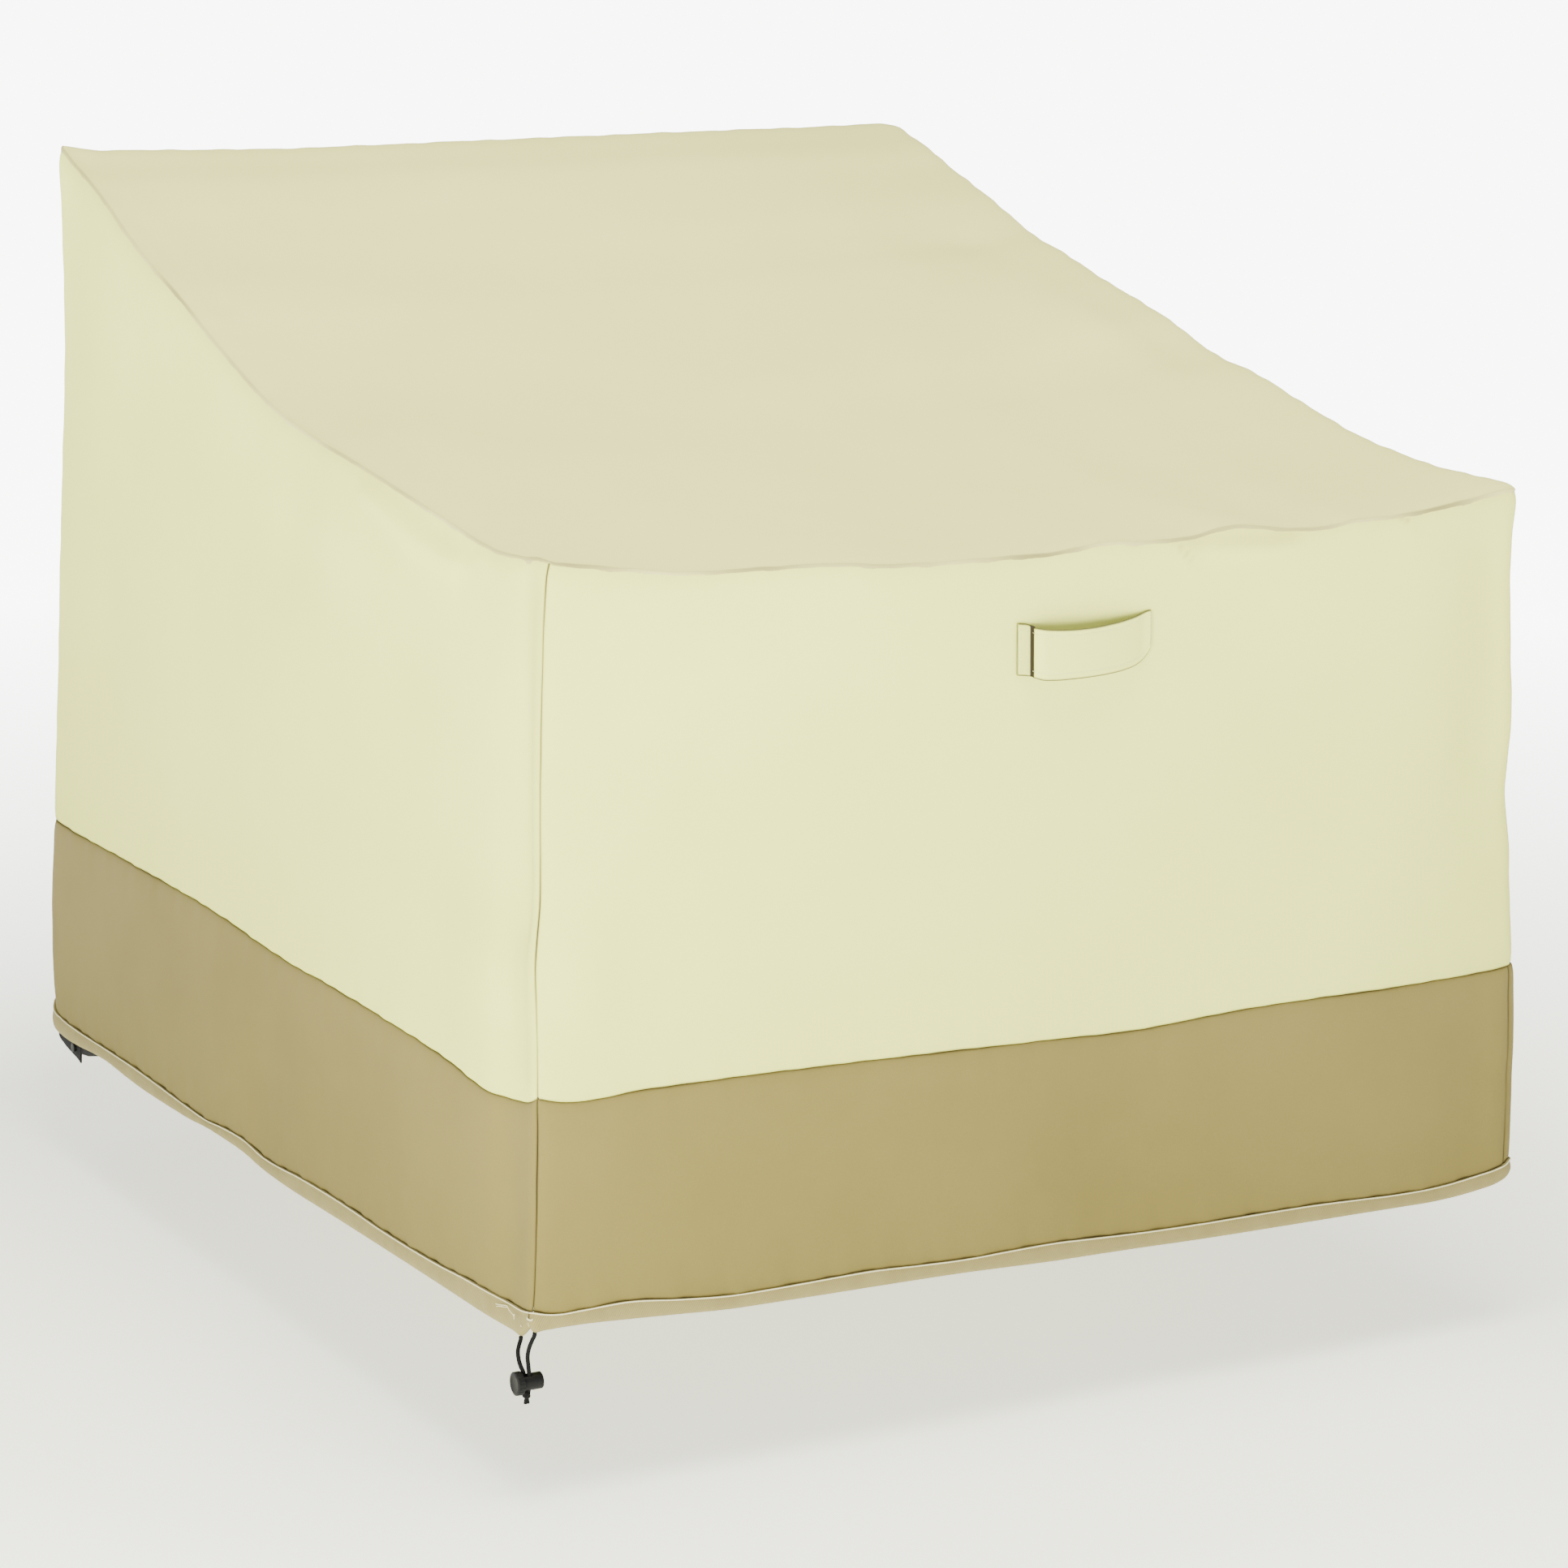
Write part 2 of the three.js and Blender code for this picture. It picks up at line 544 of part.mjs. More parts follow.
// Handle: a strap sewn flat at both ends, bowed off the front panel between them. Its path goes from the tab at the
// left to the right end, with its distance off the panel, and the heights of its lower and upper edges.
const STRAP = 2;
const HANDLE_PATH = [
  { x: -39, off: 1.4, low: 457, high: 497 },
  { x: -35, off: 1.4, low: 456.5, high: 496.5 },
  { x: -31, off: 1.4, low: 456, high: 496 },
  { x: -28, off: 2.2, low: 455.6, high: 495 },
  { x: -26.6, off: 4.6, low: 455.2, high: 494.4 },
  { x: -27.6, off: 7.6, low: 455.2, high: 494 },
  { x: -26.8, off: 10.6, low: 455, high: 494 },
  { x: -23.6, off: 12.8, low: 454, high: 493.4 },
  { x: -15, off: 14, low: 453.2, high: 492.4 },
  { x: 1, off: 14.6, low: 453, high: 491.4 },
  { x: 19, off: 14, low: 453.2, high: 491.4 },
  { x: 37, off: 11.8, low: 453.8, high: 492.4 },
  { x: 53, off: 8.4, low: 455, high: 493.8 },
  { x: 65, off: 4.8, low: 457, high: 495.4 },
  { x: 73, off: 2, low: 460.4, high: 497 },
  { x: 77.5, off: 1.4, low: 464.6, high: 498 },
  { x: 80.5, off: 1.4, low: 469, high: 498.4 },
];
const HANDLE_ROWS = 3;

// Outer face of the front panel at a place.
function frontFace(x, z) {
  return ringPoint((x + HALF_WIDTH) / FRONT_WIDTH, z, 0).y;
}

function handleStrap() {
  const heading = HANDLE_PATH.map((_, i) => {
    const before = HANDLE_PATH[Math.max(0, i - 1)];
    const after = HANDLE_PATH[Math.min(HANDLE_PATH.length - 1, i + 1)];
    return new THREE.Vector2(after.x - before.x, after.off - before.off).normalize();
  });
  const face = (shift) => (index, up) => {
    const row = HANDLE_PATH[index];
    const z = row.low + (row.high - row.low) * up;
    const x = row.x - heading[index].y * shift;
    const off = row.off + heading[index].x * shift;
    return new THREE.Vector3(x, frontFace(x, z) - off, z);
  };
  const columns = HANDLE_PATH.map((_, i) => i);
  return sheet(columns, evenly(HANDLE_ROWS), face(STRAP / 2), face(-STRAP / 2));
}

add("handle", handleStrap(), creamCloth);

// Leg strap inside the back left corner: two webbing ends that overlap below the hem, and the snap that joins them.
// Each path goes along the ring, in millimetres from the back left corner, negative on the back wall.
const WEBBING = 1.5;
const STRAP_DEPTH = HEM_DEPTH + 0.4;
const LAP_DEPTH = STRAP_DEPTH + WEBBING + GAP;
const LONG_END = [
  { from: -62, low: -16, high: 6, depth: STRAP_DEPTH },
  { from: -30, low: -17, high: 6, depth: STRAP_DEPTH },
  { from: -12, low: -18.5, high: 5, depth: STRAP_DEPTH },
  { from: 0, low: -20, high: 4, depth: STRAP_DEPTH },
  { from: 12, low: -23, high: 2, depth: STRAP_DEPTH },
  { from: 30, low: -28, high: -2, depth: STRAP_DEPTH },
  { from: 50, low: -31.5, high: -6, depth: STRAP_DEPTH },
  { from: 66, low: -34, high: -9, depth: STRAP_DEPTH },
  { from: 73, low: -36, high: -22, depth: STRAP_DEPTH },
];
const SHORT_END = [
  { from: 44, low: -29, high: -9, depth: LAP_DEPTH },
  { from: 60, low: -28.5, high: -5, depth: LAP_DEPTH },
  { from: 78, low: -26.5, high: -3, depth: LAP_DEPTH },
  { from: 94, low: -24, high: 0, depth: STRAP_DEPTH + 0.8 },
  { from: 108, low: -20.5, high: 3, depth: STRAP_DEPTH },
  { from: 122, low: -17, high: 6, depth: STRAP_DEPTH },
  { from: 136, low: -14, high: 7, depth: STRAP_DEPTH },
];

// The back left corner's place on the ring of walls.
const BACK_LEFT = 3;

function strapRing(from) {
  return BACK_LEFT + from / (from < 0 ? FRONT_WIDTH : DEPTH);
}

function webbing(path) {
  const face = (shift) => (index, up) => {
    const row = path[index];
    return shellPoint(strapRing(row.from), row.low + (row.high - row.low) * up, row.depth + shift);
  };
  return sheet(path.map((_, i) => i), evenly(2), face(0), face(WEBBING));
}

add("leg_strap", webbing(LONG_END), blackWebbing);
add("leg_strap_lap", webbing(SHORT_END), blackWebbing);

// Round solid from a profile of radius and height, about an axis that is then turned and placed.
const ROUND_SIDES = 20;

function turned(profile, axis, place) {
  const points = profile.map((row) => new THREE.Vector2(row.r, row.h));
  const geometry = new THREE.LatheGeometry(points, ROUND_SIDES);
  const turn = new THREE.Quaternion().setFromUnitVectors(new THREE.Vector3(0, 1, 0), axis);
  return geometry.applyQuaternion(turn).translate(place.x, place.y, place.z);
}

// Snap cap on the outer face of the long end.
const SNAP = { from: 58, z: -24.5, radius: 4.2, height: 2 };
const snapPlace = shellPoint(strapRing(SNAP.from), SNAP.z, STRAP_DEPTH - GAP);
const SNAP_PROFILE = [
  { r: 0, h: 0 },
  { r: SNAP.radius, h: 0 },
  { r: SNAP.radius, h: SNAP.height * 0.55 },
  { r: SNAP.radius * 0.7, h: SNAP.height },
  { r: 0, h: SNAP.height },
];
add("strap_snap", turned(SNAP_PROFILE, new THREE.Vector3(-1, 0, 0), snapPlace), blackPlastic);

// Drawcord: both ends leave the hem at the front left slit, hang down together and pass through the cord lock.
const CORD_DIAMETER = 3.2;
const CORD_SIDES = 8;
const CORD_STEPS = 14;
const CORD_LEFT = [
  [-443.8, 15, -10.2],
  [-443.9, 14.9, -12.4],
  [-445.4, 13.9, -15.2],
  [-447.6, 11.9, -19.4],
  [-448.4, 9.4, -24.6],
  [-447.6, 7.2, -30.4],
  [-446.2, 5.2, -35.2],
];
const CORD_RIGHT = [
  [-441.5, -4.2, -1.5],
  [-441.6, -4, -3.6],
  [-442.8, -2.4, -8],
  [-444.2, -0.4, -14],
  [-444.9, 1, -21],
  [-443.9, 1.8, -29],
  [-443.2, 2.2, -35.2],
];

function cordTube(points) {
  const path = new THREE.CatmullRomCurve3(points.map((point) => new THREE.Vector3(...point)));
  const section = new THREE.Shape();
  for (let i = 0; i < CORD_SIDES; i += 1) {
    const angle = (2 * Math.PI * i) / CORD_SIDES;
    const x = (CORD_DIAMETER / 2) * Math.cos(angle);
    const y = (CORD_DIAMETER / 2) * Math.sin(angle);
    if (i === 0) section.moveTo(x, y);
    else section.lineTo(x, y);
  }
  section.closePath();
  return new THREE.ExtrudeGeometry(section, { steps: CORD_STEPS, extrudePath: path, bevelEnabled: false });
}

add("drawcord_left", cordTube(CORD_LEFT), blackWebbing);
add("drawcord_right", cordTube(CORD_RIGHT), blackWebbing);

// Cord lock: a barrel across the cord with a wide push button at its left end, and the cord's knot below.
const LOCK = { left: -449, length: 16, radius: 6.4, y: 3.7, z: -42 };
const BUTTON = { radius: 9, thickness: 4.8 };
const LOCK_EDGE = 1.2;
const alongX = new THREE.Vector3(1, 0, 0);
const LOCK_PROFILE = [
  { r: 0, h: 0 },
  { r: LOCK.radius - LOCK_EDGE, h: 0 },
  { r: LOCK.radius, h: LOCK_EDGE },
  { r: LOCK.radius, h: LOCK.length - LOCK_EDGE },
  { r: LOCK.radius - LOCK_EDGE, h: LOCK.length },
  { r: 0, h: LOCK.length },
];
const BUTTON_PROFILE = [
  { r: 0, h: 0 },
  { r: BUTTON.radius - LOCK_EDGE, h: 0 },
  { r: BUTTON.radius, h: LOCK_EDGE },
  { r: BUTTON.radius, h: BUTTON.thickness - LOCK_EDGE },
  { r: BUTTON.radius - LOCK_EDGE, h: BUTTON.thickness },
  { r: 0, h: BUTTON.thickness },
];
const lockPlace = new THREE.Vector3(LOCK.left, LOCK.y, LOCK.z);
const buttonPlace = new THREE.Vector3(LOCK.left - GAP - BUTTON.thickness, LOCK.y, LOCK.z);
add("cord_lock", turned(LOCK_PROFILE, alongX, lockPlace), blackPlastic);
add("cord_lock_button", turned(BUTTON_PROFILE, alongX, buttonPlace), blackPlastic);

const KNOT = { radius: 3.6, height: 6.4 };
const knotPlace = new THREE.Vector3(LOCK.left + 4.6, LOCK.y, LOCK.z - LOCK.radius - GAP - KNOT.height);
const KNOT_PROFILE = [
  { r: 0, h: 0 },
  { r: KNOT.radius * 0.7, h: 0.5 },
  { r: KNOT.radius, h: KNOT.height * 0.4 },
  { r: KNOT.radius * 0.85, h: KNOT.height * 0.75 },
  { r: KNOT.radius * 0.5, h: KNOT.height },
  { r: 0, h: KNOT.height },
];
add("cord_knot", turned(KNOT_PROFILE, new THREE.Vector3(0, 0, 1), knotPlace), blackWebbing);

// The part's origin: the underside of the top panel, in the middle, where the cover is carried.
const rest = topPoint(0.5, REST_BACK / DEPTH, CLOTH);
cover.position.set(0, -rest.y, -rest.z);

export default cover;
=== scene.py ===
# Patio chair cover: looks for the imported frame. Metres, +Z up, origin under the top panel.
import math

import bmesh
import bpy
import numpy as np
from mathutils import Matrix, Vector


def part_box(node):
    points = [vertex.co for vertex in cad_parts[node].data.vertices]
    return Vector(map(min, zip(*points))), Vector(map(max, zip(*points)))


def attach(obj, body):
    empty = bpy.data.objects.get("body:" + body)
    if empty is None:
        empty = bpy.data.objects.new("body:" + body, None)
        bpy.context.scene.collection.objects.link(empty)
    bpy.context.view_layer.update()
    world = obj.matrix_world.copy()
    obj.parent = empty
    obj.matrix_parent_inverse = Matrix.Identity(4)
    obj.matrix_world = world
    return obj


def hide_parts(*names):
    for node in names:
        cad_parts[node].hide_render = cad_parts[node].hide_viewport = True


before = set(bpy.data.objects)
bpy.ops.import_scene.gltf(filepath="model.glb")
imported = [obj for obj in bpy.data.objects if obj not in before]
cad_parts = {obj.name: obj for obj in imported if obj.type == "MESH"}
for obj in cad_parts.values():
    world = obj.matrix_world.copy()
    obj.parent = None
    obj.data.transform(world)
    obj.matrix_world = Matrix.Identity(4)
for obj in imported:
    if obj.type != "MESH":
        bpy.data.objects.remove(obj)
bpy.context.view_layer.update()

# Camera
# It looks at the front left corner from a little above. Places below are counted from the foot of the
# front wall: its middle at the hem's seam. The cord's knot, whose place from there is known, gives that
# foot in the frame.
KNOT_BACK = 0.0037
KNOT_DROP = 0.0551
knot_low, knot_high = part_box("cord_knot")
FOOT = Vector((0, (knot_low.y + knot_high.y) / 2 - KNOT_BACK, knot_low.z + KNOT_DROP))

CAMERA_TARGET = Vector((-0.04816, 0.344, 0.3053))
CAMERA_AZIMUTH = math.radians(-28.59)
CAMERA_ELEVATION = math.radians(12.32)
CAMERA_ROLL = math.radians(0.63)
CAMERA_DISTANCE = 3.7212
CAMERA_LENS = 103.2

back_way = Vector((
    math.sin(CAMERA_AZIMUTH) * math.cos(CAMERA_ELEVATION),
    -math.cos(CAMERA_AZIMUTH) * math.cos(CAMERA_ELEVATION),
    math.sin(CAMERA_ELEVATION),
))
right_way = Vector((math.cos(CAMERA_AZIMUTH), math.sin(CAMERA_AZIMUTH), 0))
up_way = back_way.cross(right_way)
rolled_right = right_way * math.cos(CAMERA_ROLL) + up_way * math.sin(CAMERA_ROLL)
rolled_up = up_way * math.cos(CAMERA_ROLL) - right_way * math.sin(CAMERA_ROLL)
camera_data = bpy.data.cameras.new("camera")
camera_data.lens = CAMERA_LENS
camera_data.sensor_width = 36
camera_data.clip_end = 100
camera = bpy.data.objects.new("camera", camera_data)
camera.matrix_world = Matrix((rolled_right, rolled_up, back_way)).transposed().to_4x4()
camera.location = FOOT + CAMERA_TARGET + back_way * CAMERA_DISTANCE
bpy.context.collection.objects.link(camera)
bpy.context.scene.camera = camera


# Drawcord
# A round braided cord runs hidden in the hem channel. Its two free ends leave the slit in the front left
# corner, hang side by side through the cord lock, and are knotted together below it.
CORD_DIAMETER = 0.0032
# No cord or thread runs this way.
ASIDE = (0.31, 0.95, 0.02)
CORD_LEFT = [
    (-0.4438, 0.0150, -0.0102), (-0.4439, 0.0149, -0.0124), (-0.4454, 0.0139, -0.0152),
    (-0.4476, 0.0119, -0.0194), (-0.4484, 0.0094, -0.0246), (-0.4476, 0.0072, -0.0304),
    (-0.4462, 0.0052, -0.0352), (-0.4461, 0.0050, -0.0400), (-0.4460, 0.0047, -0.0450),
    (-0.4458, 0.0044, -0.0490), (-0.4455, 0.0042, -0.0525),
]
CORD_RIGHT = [
    (-0.4415, -0.0042, -0.0015), (-0.4416, -0.0040, -0.0036), (-0.4428, -0.0024, -0.0080),
    (-0.4442, -0.0004, -0.0140), (-0.4449, 0.0010, -0.0210), (-0.4439, 0.0018, -0.0290),
    (-0.4432, 0.0022, -0.0352), (-0.4430, 0.0024, -0.0400), (-0.4431, 0.0026, -0.0450),
    (-0.4433, 0.0029, -0.0490), (-0.4436, 0.0032, -0.0525),
]


class Wire:
    """A shader socket. Its operators add Math nodes, so that a pattern is written as an expression."""

    def __init__(self, tree, socket):
        self.tree = tree
        self.socket = socket

    def node(self, kind, settings, inputs, output=0):
        made = self.tree.nodes.new(kind)
        for name, value in settings.items():
            setattr(made, name, value)
        for name, value in inputs.items():
            if isinstance(value, Wire):
                self.tree.links.new(value.socket, made.inputs[name])
            else:
                made.inputs[name].default_value = value
        return Wire(self.tree, made.outputs[output])

    def math(self, operation, *values):
        return self.node("ShaderNodeMath", {"operation": operation}, dict(enumerate(values)))

    def __add__(self, other):
        return self.math("ADD", self, other)

    def __sub__(self, other):
        return self.math("SUBTRACT", self, other)

    def __rsub__(self, other):
        return self.math("SUBTRACT", other, self)

    def __mul__(self, other):
        return self.math("MULTIPLY", self, other)

    __radd__ = __add__
    __rmul__ = __mul__

    def wave(self, pitch):
        """A sine wave of 0 to 1 with this pitch."""
        turns = self * (2 * math.pi / pitch)
        return turns.math("SINE", turns) * 0.5 + 0.5

    def axis(self, name):
        return self.node("ShaderNodeSeparateXYZ", {}, {0: self}, name)

    def noise(self, scale, detail=2.0, roughness=0.5):
        inputs = {"Vector": self, "Scale": scale, "Detail": detail, "Roughness": roughness}
        return self.node("ShaderNodeTexNoise", {}, inputs, "Fac")

    def toward(self, share, color):
        """This colour, mixed toward another by a share."""
        return self.node("ShaderNodeMix", {"data_type": "RGBA"}, {0: share, 6: self, 7: color}, 2)

    def between(self, low, high, low_color, high_color):
        """Colour that goes from one to the other as the value goes from low to high."""
        share = self.node("ShaderNodeMapRange", {}, {0: self, 1: low, 2: high})
        return self.node("ShaderNodeMix", {"data_type": "RGBA"}, {0: share, 6: low_color, 7: high_color}, 2)

    def bump(self, distance, strength=1.0, normal=None):
        inputs = {"Height": self, "Distance": distance, "Strength": strength}
        if normal is not None:
            inputs["Normal"] = normal
        return self.node("ShaderNodeBump", {}, inputs)


def new_material(name):
    """An empty material, its shader, and its two coordinates: the piece's own UV map and its place."""
    material = bpy.data.materials.new(name)
    material.use_nodes = True
    shader = material.node_tree.nodes["Principled BSDF"]
    coordinates = material.node_tree.nodes.new("ShaderNodeTexCoord")
    cloth_place = Wire(material.node_tree, coordinates.outputs["UV"])
    place = Wire(material.node_tree, coordinates.outputs["Object"])
    return material, shader, cloth_place, place


def feed(shader, name, wire):
    wire.tree.links.new(wire.socket, shader.inputs[name])


BLACK = (0.005, 0.005, 0.006, 1)
BLACK_WORN = (0.007, 0.007, 0.008, 1)
BRAID_PITCH = 0.0022
BRAID_DEPTH = 0.0004
CORD_SIDES = 10
CORD_STEP = 0.0012


def braid_material():
    material, shader, cloth_place, _ = new_material("black_braid")
    around = cloth_place.axis("X")
    lengthwise = cloth_place.axis("Y")
    one_way = (lengthwise + around * 0.5).wave(BRAID_PITCH)
    other_way = (lengthwise - around * 0.5).wave(BRAID_PITCH)
    strands = one_way.math("MAXIMUM", one_way, other_way)
    feed(shader, "Base Color", strands.between(0.4, 1.0, BLACK, BLACK_WORN))
    feed(shader, "Normal", strands.bump(BRAID_DEPTH, 0.8))
    shader.inputs["Roughness"].default_value = 0.8
    shader.inputs["Specular IOR Level"].default_value = 0.1
    return material


def place_all(points):
    return [FOOT + Vector(point) for point in points]


def mesh_object(name, positions, faces, places=None, painted_marks=None):
    """A mesh that may carry its vertices' place on the cloth as a UV map, and how much painted light and
    shade each gets in its colour."""
    mesh = bpy.data.meshes.new(name)
    mesh.from_pydata([tuple(point) for point in positions], [], faces)
    if places is not None:
        loops = np.empty(len(mesh.loops), dtype=np.int32)
        mesh.loops.foreach_get("vertex_index", loops)
        layer = mesh.uv_layers.new(name="cloth")
        layer.data.foreach_set("uv", np.asarray(places, dtype=np.float32)[loops].ravel())
    if painted_marks is not None:
        layer = mesh.attributes.new(name="painted_shading", type="FLOAT", domain="POINT")
        layer.data.foreach_set("value", np.asarray(painted_marks, dtype=np.float32).ravel())
    mesh.polygons.foreach_set("use_smooth", [True] * len(mesh.polygons))
    made = bpy.data.objects.new(name, mesh)
    bpy.context.collection.objects.link(made)
    return made


def through(points, stations, wanted):
    """Points on the smooth curve through points that lie at stations, at the wanted stations."""
    points = np.asarray(points, dtype=float)
    slopes = np.gradient(points, stations, axis=0)
    index = np.clip(np.searchsorted(stations, wanted, side="right") - 1, 0, len(stations) - 2)
    step = (stations[index + 1] - stations[index]).reshape(-1, *[1] * (points.ndim - 1))
    share = (wanted - stations[index]).reshape(step.shape) / step
    ease = share * share * (3 - 2 * share)
    leave = slopes[index] * share * (1 - share) ** 2
    arrive = slopes[index + 1] * share**2 * (1 - share)
    return points[index] * (1 - ease) + points[index + 1] * ease + step * (leave - arrive)


def run_lengths(points):
    """Distance along a line of points, from its start to each."""
    return added_up(np.linalg.norm(np.diff(np.asarray(points, dtype=float), axis=0), axis=-1))


def added_up(steps):
    """Distances of points from the start of their line, from the steps between them."""
    return np.concatenate([[0.0], np.cumsum(steps)])


def rings(line, stations, radius_at, sides):
    """Rings of points round a line, and their places on its surface in metres."""
    heading = np.gradient(line, axis=0)
    heading /= np.linalg.norm(heading, axis=1)[:, None]
    side = np.cross(heading, ASIDE)
    side /= np.linalg.norm(side, axis=1)[:, None]
    other = np.cross(heading, side)
    positions, places = [], []
    for i, centre in enumerate(line):
        for k in range(sides):
            angle = 2 * math.pi * k / sides
            radius = radius_at(stations[i], angle)
            positions.append(centre + radius * (math.cos(angle) * side[i] + math.sin(angle) * other[i]))
            places.append((angle * radius, stations[i]))
    return positions, places


def ring_faces(count, around):
    """Faces between rings of points, and one that closes each end."""
    faces = []
    for i in range(count - 1):
        for k in range(around):
            a, b = i * around + k, i * around + (k + 1) % around
            faces.append((a, b, b + around, a + around))
    faces.append(tuple(reversed(range(around))))
    faces.append(tuple(range((count - 1) * around, count * around)))
    return faces


def tube(name, route, radius_at, sides, step):
    """A round tube along a smooth route, closed at both ends, with its UV map in metres."""
    lengths = run_lengths(route)
    count = max(2, round(lengths[-1] / step)) + 1
    stations = np.linspace(0, lengths[-1], count)
    line = through(route, lengths, stations)
    positions, places = rings(line, stations, radius_at, sides)
    return mesh_object(name, positions, ring_faces(count, sides), places), line


braid = braid_material()


def finish_piece(made, material, slot, *nodes):
    """The piece gets its material, rides on the cover, and stands for its nodes. Its slot is not used."""
    made.data.materials.clear()
    made.data.materials.append(material)
    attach(made, "root")
    if nodes:
        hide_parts(*nodes)
    return made


for cord_name, points in (("drawcord_left", CORD_LEFT), ("drawcord_right", CORD_RIGHT)):
    route = place_all(points)
    made, line = tube(cord_name + "_braid", route, lambda at, angle: CORD_DIAMETER / 2, CORD_SIDES, CORD_STEP)
    finish_piece(made, braid, "black_cord", cord_name)


# Cloth panels
# Coated polyester cloth in nine cut pieces, sewn edge to edge from the inside. Each piece follows the
# outer face of its node in the frame, is drawn in along its seams, and has its allowance turned in behind
# them.
CLOTH_THICKNESS = 0.0009
ALLOWANCE = 0.007
SAME_POINT = 1e-5
FACING = 0.4


def sheet_grid(node, start_way, outward=None, around=0.0):
    """The outer face of a node's sheet as columns of points. The first column starts at the corner that
    lies least far along start_way. A face is on the outer side where it looks along outward, or away from
    the middle of the cover, and also where it turns from such a face by less than around, as at a
    fold."""
    sheet = bmesh.new()
    sheet.from_mesh(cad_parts[node].data)
    bmesh.ops.remove_doubles(sheet, verts=sheet.verts, dist=SAME_POINT)
    sheet.normal_update()
    skin = set()
    for face in sheet.faces:
        middle = face.calc_center_median()
        way = Vector(outward) if outward else Vector((middle.x, middle.y, 0))
        if face.normal.dot(way.normalized()) > FACING:
            skin.add(face)
    waiting = list(skin)
    while waiting:
        face = waiting.pop()
        for other in [other for edge in face.edges for other in edge.link_faces]:
            if other not in skin and other.normal.angle(face.normal) < around:
                skin.add(other)
                waiting.append(other)

    def rim_steps(vert):
        edges = [edge for edge in vert.link_edges if sum(face in skin for face in edge.link_faces) == 1]
        return [edge.other_vert(vert) for edge in edges]

    corners = [vert for vert in sheet.verts if sum(face in skin for face in vert.link_faces) in (1, 2)]
    row = [min(corners, key=lambda vert: vert.co.dot(Vector(start_way)))]
    row.append(min(rim_steps(row[0]), key=lambda vert: abs((vert.co - row[0].co).normalized().z)))
    while row[-1] not in corners:
        row.append(next(vert for vert in rim_steps(row[-1]) if vert is not row[-2]))
    rows = [row]
    used = set(row)
    while len(rows) == 1 or row[0] not in corners:
        thirds = []
        for a, b in zip(row, row[1:]):
            faces = [face for face in a.link_faces if face in skin and b in face.verts]
            thirds += [vert for face in faces for vert in face.verts if vert not in used]
        start = next(vert for vert in rim_steps(row[0]) if vert not in used)
        finish = next(vert for vert in rim_steps(row[-1]) if vert not in used)
        row = thirds + [finish] if thirds[0] is start else [start] + thirds
        used.update(row)
        rows.append(row)
    grid = np.array([[tuple(vert.co) for vert in line] for line in rows]).transpose(1, 0, 2)
    sheet.free()
    return grid


SIDES = {
    "front": {"along": (1, 0, 0), "outward": (0, -1, 0)},
    "right": {"along": (0, 1, 0), "outward": (1, 0, 0)},
    "back": {"along": (-1, 0, 0), "outward": (0, 1, 0)},
    "left": {"along": (0, -1, 0), "outward": (-1, 0, 0)},
}
ORDER = list(SIDES)
grids = {}
for wall, side in SIDES.items():
    low_start = Vector(side["along"]) + Vector((0, 0, 1))
    for name in (wall + "_panel", "band_" + wall):
        grids[name] = sheet_grid(name, low_start, side["outward"])
grids["top_panel"] = sheet_grid("top_panel", (1, 1, 0), (0, -0.4, 0.9))

SEAM_STEP = 0.002
SEAM_REACH = 0.045
RIPPLE_REACH = 0.014
POINTS_AT_ONCE = 4000


class Seam:
    """A sewn line. It draws the cloth in as a groove with rolled shoulders, and leaves small ripples
    beside it."""

    def __init__(self, line, inward, groove, narrow, roll, wide, ripple, pitch):
        lengths = run_lengths(line)
        count = max(2, round(lengths[-1] / SEAM_STEP))
        self.at = np.linspace(0, lengths[-1], count + 1)
        self.line = through(line, lengths, self.at)
        self.inward = np.array(inward, dtype=float) / np.linalg.norm(inward)
        self.groove, self.narrow = groove, narrow
        self.roll, self.wide = roll, wide
        self.ripple, self.pitch = ripple, pitch
        heading = np.gradient(self.line, axis=0)
        self.heading = heading / np.linalg.norm(heading, axis=1)[:, None]

    def near(self, points):
        """Distance of each point from the seam, and its place along it. Far points are only known to be
        far."""
        distance = np.full(len(points), SEAM_REACH)
        along = np.zeros(len(points))
        low, high = self.line.min(0) - SEAM_REACH, self.line.max(0) + SEAM_REACH
        close = np.flatnonzero(((points > low) & (points < high)).all(1))
        half = self.at[1] / 2
        for first in range(0, len(close), POINTS_AT_ONCE):
            chosen = close[first:first + POINTS_AT_ONCE]
            gaps = ((points[chosen][:, None, :] - self.line[None, :, :]) ** 2).sum(2)
            index = gaps.argmin(1)
            offset = points[chosen] - self.line[index]
            step = np.clip((offset * self.heading[index]).sum(1), -half, half)
            distance[chosen] = np.linalg.norm(offset - step[:, None] * self.heading[index], axis=1)
            along[chosen] = self.at[index] + step
        return distance, along

    def pull(self, points):
        distance, along = self.near(points)
        depth = self.groove * np.exp(-distance / self.narrow)
        depth += self.roll * np.exp(-((distance / self.wide) ** 2))
        turn = 2 * math.pi * along / self.pitch
        shape = np.sin(turn) + 0.7 * np.sin(0.43 * turn + 1.3) + 0.6 * np.sin(1.71 * turn + 0.4)
        depth += self.ripple * shape * np.exp(-distance / RIPPLE_REACH)
        return depth[:, None] * self.inward


